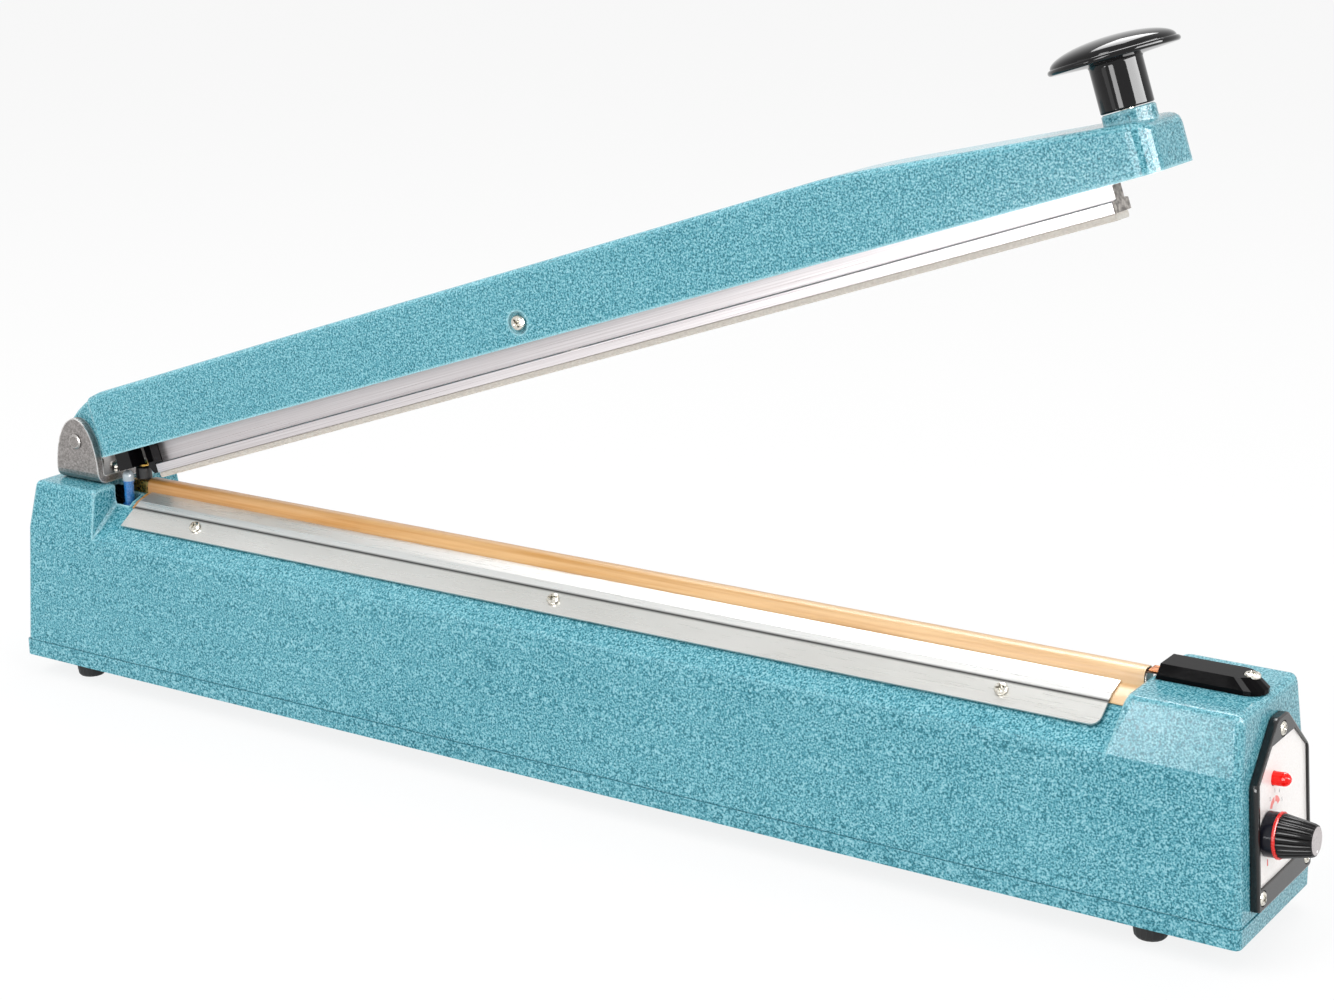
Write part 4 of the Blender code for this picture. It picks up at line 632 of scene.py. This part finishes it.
# ---------------------------------------------------------------- cloth over the jaw
CLOTH_STATIONS = 240
CLOTH_RIPPLE = 0.10 * MM
CLOTH_CREST = 1.2 * MM        # depth under the top within which the cloth ripples
RIPPLES_ALONG = 55.0          # about how many ripples there are to a metre, along the jaw and across it
RIPPLES_ACROSS = 90.0
RIPPLE_LAYER = 3.0            # the slice of the noise that is used


def make_cloth():
    """The PTFE cloth pulled over the jaw: the CAD sheet with many stations and a slight ripple."""
    low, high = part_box("jaw_cloth")
    shape = bmesh.new()
    shape.from_mesh(NODES["jaw_cloth"].data)
    bmesh.ops.remove_doubles(shape, verts=shape.verts, dist=0.01 * MM)
    bmesh.ops.dissolve_limit(shape, angle_limit=math.radians(1.0), verts=shape.verts, edges=shape.edges)
    for k in range(1, CLOTH_STATIONS):
        x = low.x + (high.x - low.x) * k / CLOTH_STATIONS
        bmesh.ops.bisect_plane(shape, geom=shape.verts[:] + shape.edges[:] + shape.faces[:],
                               plane_co=(x, 0.0, 0.0), plane_no=(1.0, 0.0, 0.0))
    crest = high.z - CLOTH_CREST
    for vertex in shape.verts:
        if vertex.co.z > crest:
            spot = Vector((vertex.co.x * RIPPLES_ALONG, vertex.co.y * RIPPLES_ACROSS, RIPPLE_LAYER))
            vertex.co.z += CLOTH_RIPPLE * noise(spot)
    cloth = make_piece("ptfe_jaw_cloth", shape, ptfe_cloth(), "base", 40.0)
    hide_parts("jaw_cloth")


# ---------------------------------------------------------------- turned pieces
RING_POINTS = 216
FLUTES = 18
FLUTE_POWER = 0.6             # under 1, so that the grooves are narrower than the ridges


def ring_points(radius, level, flute=0.0):
    """A ring about Z; flute is the depth of its rounded grooves."""
    ring = []
    for k in range(RING_POINTS):
        angle = 2 * math.pi * k / RING_POINTS
        wave = abs(math.sin(angle * FLUTES / 2)) ** FLUTE_POWER
        reach = radius - flute * (1 - wave)
        ring.append((reach * math.cos(angle), reach * math.sin(angle), level))
    return ring


def turned(profile, place):
    """A skin turned about the place's Z from rows of (radius, level) or (radius, level, flute depth)."""
    return loft([[place @ Vector(point) for point in ring_points(*row)] for row in profile])


# ---------------------------------------------------------------- timer knob
SKIRT_SHARE = 0.955           # radii as shares of the CAD knob's widest one
GRIP_SHARE = 0.93
TIP_SHARE = 0.70
RING_LOW = 4.6 * MM           # the red ring, out from the knob's base
RING_HIGH = 5.9 * MM
RING_CHAMFER = 0.3 * MM
PARTING = 0.02 * MM           # gap between the knob's pieces, and from its cap to its top
FLUTE_DEPTH = 0.75 * MM
FLUTE_END = 0.2 * MM          # depth of the flutes where they run out
FLUTE_START = 0.8 * MM        # over the ring, where the flutes are deep
FLUTE_STOP = 1.1 * MM         # under the top, where they start to run out
GRIP_CHAMFER = 0.35 * MM
GRIP_RIM = 0.9 * MM           # in from the tip's radius, the edge of the grip's end
GRIP_DROP = 0.1 * MM          # under the top, the grip's end
CAP_INSET = 0.95 * MM
CAP_DEPTH = 0.4 * MM
DOT_RADIUS = 0.62 * MM
DOT_INSET = 2.2 * MM          # middle of the white dot, in from the tip's radius
DOT_DEPTH = 0.05 * MM
DOT_POINTS = 24


def make_knob():
    """Skirt, red ring, fluted grip and flat grey cap in place of the plain CAD knob."""
    arms = [vertex.co - KNOB_CENTRE for vertex in NODES["timer_knob"].data.vertices]
    spans = [arm.dot(KNOB_AXIS) for arm in arms]
    base, top = min(spans), max(spans)
    wide = max((arm - KNOB_AXIS * span).length for arm, span in zip(arms, spans))
    skirt, grip, tip = wide * SKIRT_SHARE, wide * GRIP_SHARE, wide * TIP_SHARE
    ring_low, ring_high = base + RING_LOW, base + RING_HIGH
    place = axis_frame(KNOB_CENTRE, KNOB_AXIS)

    def build(name, profile, look):
        return make_piece(name, turned(profile, place), look, "knob", 38.0)

    bottom = build("knob_skirt", (
        (skirt - RING_CHAMFER, base),
        (skirt, base + RING_CHAMFER),
        (skirt, ring_low - PARTING)), gloss_black("knob_navy", "15161f", 0.14))
    build("knob_red_ring", (
        (wide - RING_CHAMFER, ring_low),
        (wide, ring_low + RING_CHAMFER),
        (wide, ring_high - RING_CHAMFER),
        (wide - RING_CHAMFER, ring_high)), moulded("knob_red", "d3150f", "e8271d", 0.25))
    build("knob_grip", (
        (grip, ring_high + PARTING, FLUTE_END),
        (grip, ring_high + FLUTE_START, FLUTE_DEPTH),
        ((grip + tip) / 2, (ring_high + top) / 2, FLUTE_DEPTH),
        (tip, top - FLUTE_STOP, FLUTE_DEPTH * 0.9),
        (tip - GRIP_CHAMFER, top - GRIP_CHAMFER, FLUTE_END),
        (tip - GRIP_RIM, top - GRIP_DROP)), gloss_black("knob_black", "100f10", 0.12))
    build("knob_cap", (
        (tip - CAP_INSET, top - CAP_DEPTH),
        (tip - CAP_INSET, top - PARTING)), moulded("knob_cap_grey", "a9a2a2", "bcb5b5", 0.3))
    dot = loft([[place @ Vector((x, y - (tip - DOT_INSET), level)) for x, y in circle(DOT_RADIUS, DOT_POINTS)]
                for level in (top - DOT_DEPTH, top)])
    make_piece("knob_dot", dot, ink("dot_white", "f4f4f2"), "knob")
    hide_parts("timer_knob")


# ---------------------------------------------------------------- mushroom handle
FOOT_CHAMFER = 0.4 * MM       # chamfer at the foot of the stem, as on the CAD knob
LEVEL_FIT = 0.1 * MM          # how near a measure must be to count as the same
RIM_BAND = 0.4 * MM           # in from the widest radius: the rim's upper edge
LIP_BAND = 1.4 * MM           # in from the widest radius: the lip's underside
BORE_REACH = 4 * MM           # how far the bore may run up past the lip
# flare of the stem into the cap: out from the stem, up from the lip's underside
NECK = ((0.0, -2.2 * MM), (0.0, -1.6 * MM), (0.3 * MM, -0.9 * MM), (1.2 * MM, -0.7 * MM))
CROWN_RADIUS = 0.1 * MM
LIP_STEPS = 8
DOME_STEPS = 20


def turned_rows(node):
    """Centre, axis pointing up, and (level, radius) of each vertex of a turned node."""
    points = np.array([vertex.co for vertex in node.data.vertices])
    centre = Vector(points.mean(axis=0))
    axis = odd_axis(np.cov(points.T))
    if axis.z < 0.0:
        axis = -axis
    rows = []
    for point in points:
        arm = Vector(point) - centre
        level = arm.dot(axis)
        rows.append((level, (arm - axis * level).length))
    return centre, axis, rows


def handle_profile(rows):
    """(radius, level) rows of the smooth handle, from its bore round the stem and lip to the crown."""
    foot, top = min(rows)[0], max(rows)[0]
    wide = max(radius for _, radius in rows)
    at_foot = [radius for level, radius in rows if level < foot + LEVEL_FIT]
    bore, stem = min(at_foot), max(at_foot) + FOOT_CHAMFER
    rim = max(level for level, radius in rows if radius > wide - RIM_BAND)
    under = min(level for level, radius in rows if radius > wide - LIP_BAND)
    bore_top = max(level for level, radius in rows
                   if radius < bore + LEVEL_FIT and level < under + BORE_REACH)
    profile = [(bore, bore_top), (bore, foot), (stem - FOOT_CHAMFER, foot),
               (stem, foot + FOOT_CHAMFER), (stem, foot + 2 * FOOT_CHAMFER)]
    profile += [(stem + out, under + rise) for out, rise in NECK]
    lip = (rim - under) / 2
    reach = wide - lip
    for k in range(LIP_STEPS + 1):
        turn = math.pi * (k / LIP_STEPS - 0.5)
        profile.append((reach + lip * math.cos(turn), under + lip + lip * math.sin(turn)))
    for k in range(1, DOME_STEPS):
        turn = math.pi / 2 * k / DOME_STEPS
        profile.append((reach * math.cos(turn), rim + (top - rim) * math.sin(turn)))
    profile.append((CROWN_RADIUS, top))
    return profile


def make_handle():
    """The mushroom handle turned smooth, on the measures of the CAD knob."""
    centre, axis, rows = turned_rows(NODES["handle_knob"])
    shape = turned(handle_profile(rows), axis_frame(centre, axis))
    black = gloss_black("handle_black", "09080a", 0.05, 1.36)
    handle = make_piece("mushroom_handle", shape, black, "arm", 50.0)
    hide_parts("handle_knob")


# ---------------------------------------------------------------- printed panel
PANEL_UP = KNOB_AXIS.cross(REARWARD)
PANEL_MIDDLE = 15.8 * MM      # the panel's centre line, from the knob's axis
BEZEL_FLOOR = 2.5 * MM        # floor of the label's recess, out from the knob's centre
LABEL_GAP = 0.02 * MM
INK_FLOOR = BEZEL_FLOOR + 0.18 * MM
INK_DEPTH = 0.05 * MM
# the label's corners in millimetres: along +Y from the centre line, up from the knob's axis
LABEL_OUTLINE = ((25.2, -19.2), (24.7, 21.6), (12.0, 32.6), (-12.0, 32.6), (-24.7, 21.6), (-25.2, -19.2))
SHAFT_HOLE = 3.3 * MM
LAMP_GAP = 0.25 * MM
HOLE_POINTS = 40
HOLE_REACH = (1.0 * MM, 6.0 * MM)
# the knob's scale: two arcs, five numerals about their centre, and a pointer under the knob
SCALE_CENTRE = (8.2 * MM, 6.6 * MM)
ARC_INNER = 3.1 * MM
ARC_OUTER = 5.3 * MM
ARC_ENDS = ((-68.0, -7.0), (7.0, 68.0))
ARC_STEPS = 12
NUMBER_RADIUS = 7.4 * MM
NUMBER_HEIGHT = 2.1 * MM
NUMBERS = ((1, -78.0), (2, -40.0), (3, 0.0), (4, 40.0), (5, 78.0))
POINTER_ENDS = (178.0, 182.0)
POINTER_INNER = 10.2 * MM
POINTER_OUTER = 12.8 * MM
POINTER_STEPS = 2


def panel_point(side, rise, depth):
    """A point by the knob's centre on the panel: side along +Y, rise up the panel, depth out of it."""
    return KNOB_CENTRE + REARWARD * side + PANEL_UP * rise + KNOB_AXIS * depth


def panel_prism(outline, low, high):
    """A prism on an outline of (side, rise) points, between two depths."""
    return loft([[panel_point(side, rise, depth) for side, rise in outline] for depth in (low, high)])


def plate_on_panel(name, outline, low, high, look):
    """A flat printed piece on the panel."""
    return make_piece(name, panel_prism(outline, low, high), look, "base")


def panel_hole(piece, name, side, rise, radius):
    """Cut a round hole through a plate on the panel."""
    outline = [(side + x, rise + y) for x, y in circle(radius, HOLE_POINTS)]
    cut(piece, hidden_cutter(name, panel_prism(outline, *HOLE_REACH), "base"), name)


def arc_spot(radius, angle, centre=(0.0, 0.0)):
    """(side, rise) at a radius from a centre on the panel, its angle in degrees from straight up."""
    turn = math.radians(angle)
    return centre[0] + radius * math.sin(turn), centre[1] + radius * math.cos(turn)


def arc_band(ends, inner, outer, steps, centre=(0.0, 0.0)):
    """Outline of a band between two radii about a centre on the panel."""
    start, end = ends
    angles = [start + (end - start) * k / steps for k in range(steps + 1)]
    return ([arc_spot(outer, angle, centre) for angle in angles]
            + [arc_spot(inner, angle, centre) for angle in reversed(angles)])


def make_number(value, angle, look):
    """A numeral printed by the knob's scale."""
    curve = bpy.data.curves.new(f"numeral_{value}", "FONT")
    curve.body = str(value)
    curve.size = NUMBER_HEIGHT
    curve.align_x = "CENTER"
    curve.align_y = "CENTER"
    curve.extrude = INK_DEPTH / 2
    letter = bpy.data.objects.new(f"numeral_{value}", curve)
    bpy.context.scene.collection.objects.link(letter)
    bpy.context.view_layer.update()
    mesh = bpy.data.meshes.new_from_object(letter.evaluated_get(bpy.context.evaluated_depsgraph_get()))
    bpy.data.objects.remove(letter)
    place = Matrix((REARWARD, PANEL_UP, KNOB_AXIS)).transposed().to_4x4()
    place.translation = panel_point(*arc_spot(NUMBER_RADIUS, angle, SCALE_CENTRE), INK_FLOOR + INK_DEPTH / 2)
    mesh.transform(place)
    shape = bmesh.new()
    shape.from_mesh(mesh)
    bpy.data.meshes.remove(mesh)
    make_piece(f"scale_number_{value}", shape, look, "base")


def make_label():
    """White printed label in the bezel's recess, with the knob's scale."""
    outline = [(PANEL_MIDDLE + side * MM, rise * MM) for side, rise in LABEL_OUTLINE]
    label = plate_on_panel("panel_label", outline, BEZEL_FLOOR + LABEL_GAP, INK_FLOOR, label_white())
    panel_hole(label, "label_shaft_hole", 0.0, 0.0, SHAFT_HOLE)
    lamp_low, lamp_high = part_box("pilot_lamp")
    lamp = (lamp_low + lamp_high) / 2 - KNOB_CENTRE
    lamp_radius = (lamp_high.y - lamp_low.y) / 2
    panel_hole(label, "label_lamp_hole", lamp.y, lamp.dot(PANEL_UP), lamp_radius + LAMP_GAP)
    pink = ink("ink_pink", "ee7a74")
    grey = ink("ink_grey", "8b8789")
    top = INK_FLOOR + INK_DEPTH
    for number, ends in enumerate(ARC_ENDS, 1):
        band = arc_band(ends, ARC_INNER, ARC_OUTER, ARC_STEPS, SCALE_CENTRE)
        plate_on_panel(f"scale_arc_{number}", band, INK_FLOOR, top, pink)
    for value, angle in NUMBERS:
        make_number(value, angle, grey)
    pointer = arc_band(POINTER_ENDS, POINTER_INNER, POINTER_OUTER, POINTER_STEPS)
    plate_on_panel("scale_pointer", pointer, INK_FLOOR, top, ink("ink_red", "d8352c"))


# ---------------------------------------------------------------- return spring
SPRING_WIRE = 0.45 * MM       # radius of the wire
SPRING_TURNS = 6
SPRING_STEPS = 40
SPRING_SIDES = 12
SPRING_END = 0.08             # share of the coil at each end that is wound close
SPRING_CREEP = 0.15           # share of the height that is gained at an even rate all along


def make_spring():
    """A round wire spring, wound close at both ends, in the box of the CAD spring."""
    low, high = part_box("return_spring")
    middle = (low + high) / 2
    reach = (high.x - low.x) / 2 - SPRING_WIRE
    start, end = low.z + SPRING_WIRE, high.z - SPRING_WIRE
    rings = []
    count = SPRING_TURNS * SPRING_STEPS
    for k in range(count + 1):
        turn = 2 * math.pi * k / SPRING_STEPS
        outward = Vector((math.cos(turn), math.sin(turn), 0.0))
        wound = k / count
        open_share = min(1.0, max(0.0, (wound - SPRING_END) / (1 - 2 * SPRING_END)))
        risen = SPRING_CREEP * wound + (1 - SPRING_CREEP) * open_share
        centre = Vector((middle.x, middle.y, start + (end - start) * risen)) + outward * reach
        rings.append([centre + outward * x + UPWARD * y for x, y in circle(SPRING_WIRE, SPRING_SIDES)])
    spring = make_piece("rod_return_spring", loft(rings), zinc(), "base", 60.0)
    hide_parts("return_spring")
    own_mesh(spring)


# ---------------------------------------------------------------- studio
LAMP_TARGET = (0.0, 0.0, 0.1)
# soft lamps: name, middle, width and height, watts
LAMPS = (
    ("key", (-0.7, -1.1, 1.5), (1.2, 1.2), 20.0),
    ("top", (0.3, 0.2, 1.6), (1.6, 0.8), 12.0),
    ("side", (1.6, -0.5, 0.7), (0.8, 0.9), 7.0),
)
# reflected cards: name, middle, width and height, glow, point they face
CARDS = (
    ("arm_card", (-0.44, -0.90, 0.30), (0.62, 0.42), 1.2, (-0.44, 0.0, 0.30)),
    ("block_card", (-0.09, -0.88, 0.045), (0.16, 0.09), 30.0, (-0.09, 0.0, 0.045)),
    ("front_card", (0.24, -1.10, 0.55), (0.34, 0.80), 14.0, (0.24, 0.0, 0.55)),
    ("end_card", (1.30, 0.0, 0.65), (1.10, 0.90), 20.0, (0.0, 0.0, 0.65)),
    ("roof_card", (-0.33, 0.78, 1.50), (0.80, 1.35), 11.0, (-0.33, 0.78, 0.0)),
)
WORLD_FILL = 0.62             # strength of the world as a light, 1 where it is seen
FLOOR_SIZE = 8.0
FLOOR_GREY = 0.82
FLOOR_WHITE = 0.86            # share of plain white in the floor, the rest takes the shadow


def area_light(name, place, size, power, target=LAMP_TARGET):
    """A rectangular lamp that faces the target and that the camera doesn't see."""
    lamp = bpy.data.lights.new(name, "AREA")
    lamp.shape = "RECTANGLE"
    lamp.size, lamp.size_y = size
    lamp.energy = power
    light = bpy.data.objects.new(name, lamp)
    bpy.context.scene.collection.objects.link(light)
    place = Vector(place)
    matrix = (Vector(target) - place).to_track_quat("-Z", "Y").to_matrix().to_4x4()
    matrix.translation = place
    light.matrix_world = matrix
    light.visible_camera = False
    return light


def reflector(name, place, size, glow, target):
    """A card that only shows as a reflection, glow times as bright as plain white."""
    card = area_light(name, place, size, glow * math.pi * size[0] * size[1], target)
    card.visible_diffuse = False


def seen_share(tree):
    """1 for camera, glossy and transmission rays, 0 for the rays that light the object."""
    path = tree.nodes.new("ShaderNodeLightPath")
    share = path.outputs["Is Camera Ray"]
    for ray in ("Is Glossy Ray", "Is Transmission Ray"):
        either = tree.nodes.new("ShaderNodeMath")
        either.operation = "MAXIMUM"
        tree.links.new(share, either.inputs[0])
        tree.links.new(path.outputs[ray], either.inputs[1])
        share = either.outputs[0]
    return share


def make_world():
    """A plain white world that lights the object less than it shows."""
    world = bpy.data.worlds.new("studio")
    bpy.context.scene.world = world
    world.use_nodes = True
    tree = world.node_tree
    back = tree.nodes["Background"]
    strength = tree.nodes.new("ShaderNodeMapRange")
    tree.links.new(seen_share(tree), strength.inputs["Value"])
    strength.inputs["To Min"].default_value = WORLD_FILL
    strength.inputs["To Max"].default_value = 1.0
    tree.links.new(strength.outputs[0], back.inputs["Strength"])
    back.inputs["Color"].default_value = (1.0, 1.0, 1.0, 1.0)


def floor_paper():
    """White paper: a grey that takes the shadow, mostly covered by plain white where it is seen."""
    paper = bpy.data.materials.new("floor_paper")
    paper.use_nodes = True
    tree = paper.node_tree
    tree.nodes.remove(tree.nodes["Principled BSDF"])
    diffuse = tree.nodes.new("ShaderNodeBsdfDiffuse")
    diffuse.inputs["Color"].default_value = (FLOOR_GREY, FLOOR_GREY, FLOOR_GREY, 1.0)
    glow = tree.nodes.new("ShaderNodeEmission")
    share = tree.nodes.new("ShaderNodeMapRange")
    tree.links.new(seen_share(tree), share.inputs["Value"])
    share.inputs["To Max"].default_value = FLOOR_WHITE
    mixed = tree.nodes.new("ShaderNodeMixShader")
    tree.links.new(share.outputs[0], mixed.inputs[0])
    tree.links.new(diffuse.outputs[0], mixed.inputs[1])
    tree.links.new(glow.outputs[0], mixed.inputs[2])
    tree.links.new(mixed.outputs[0], tree.nodes["Material Output"].inputs["Surface"])
    return paper


def make_floor():
    shape = bmesh.new()
    bmesh.ops.create_grid(shape, x_segments=2, y_segments=2, size=FLOOR_SIZE)
    floor = shape_object("floor", shape)
    floor.data.materials.append(floor_paper())


def make_studio():
    make_world()
    make_floor()
    for name, place, size, power in LAMPS:
        area_light(name, place, size, power).visible_glossy = False
    for name, place, size, glow, target in CARDS:
        reflector(name, place, size, glow, target)


# ---------------------------------------------------------------- the photograph's camera
CAMERA_OFFSET = Vector((0.9413, -0.8449, 0.4270))  # from the front left lower corner of the tray
CAMERA_YAW = 0.5854
CAMERA_PITCH = 0.2798
CAMERA_ROLL = -0.0113
FOCAL_SHARE = 2612.32 / 1334  # focal length as a share of the frame's width, both in pixels
SENSOR = 36.0
CLIP_START = 0.01


def make_camera():
    """The camera that took the photograph."""
    camera = bpy.data.cameras.new("photo_camera")
    camera.sensor_width = SENSOR
    camera.lens = FOCAL_SHARE * SENSOR
    camera.clip_start = CLIP_START
    view = bpy.data.objects.new("photo_camera", camera)
    bpy.context.scene.collection.objects.link(view)
    yaw, pitch, roll = CAMERA_YAW, CAMERA_PITCH, CAMERA_ROLL
    ahead = Vector((-math.sin(yaw) * math.cos(pitch), math.cos(yaw) * math.cos(pitch), -math.sin(pitch)))
    right = ahead.cross(UPWARD).normalized()
    up = right.cross(ahead)
    rolled_right = math.cos(roll) * right + math.sin(roll) * up
    rolled_up = math.cos(roll) * up - math.sin(roll) * right
    matrix = Matrix((rolled_right, rolled_up, -ahead)).transposed().to_4x4()
    matrix.translation = TRAY_LOW + CAMERA_OFFSET
    view.matrix_world = matrix
    bpy.context.scene.camera = view


def main():
    bpy.context.scene.view_settings.view_transform = "Standard"
    dress_nodes()
    cut_screws()
    make_cloth()
    make_knob()
    make_handle()
    make_label()
    make_spring()
    make_studio()
    make_camera()


main()
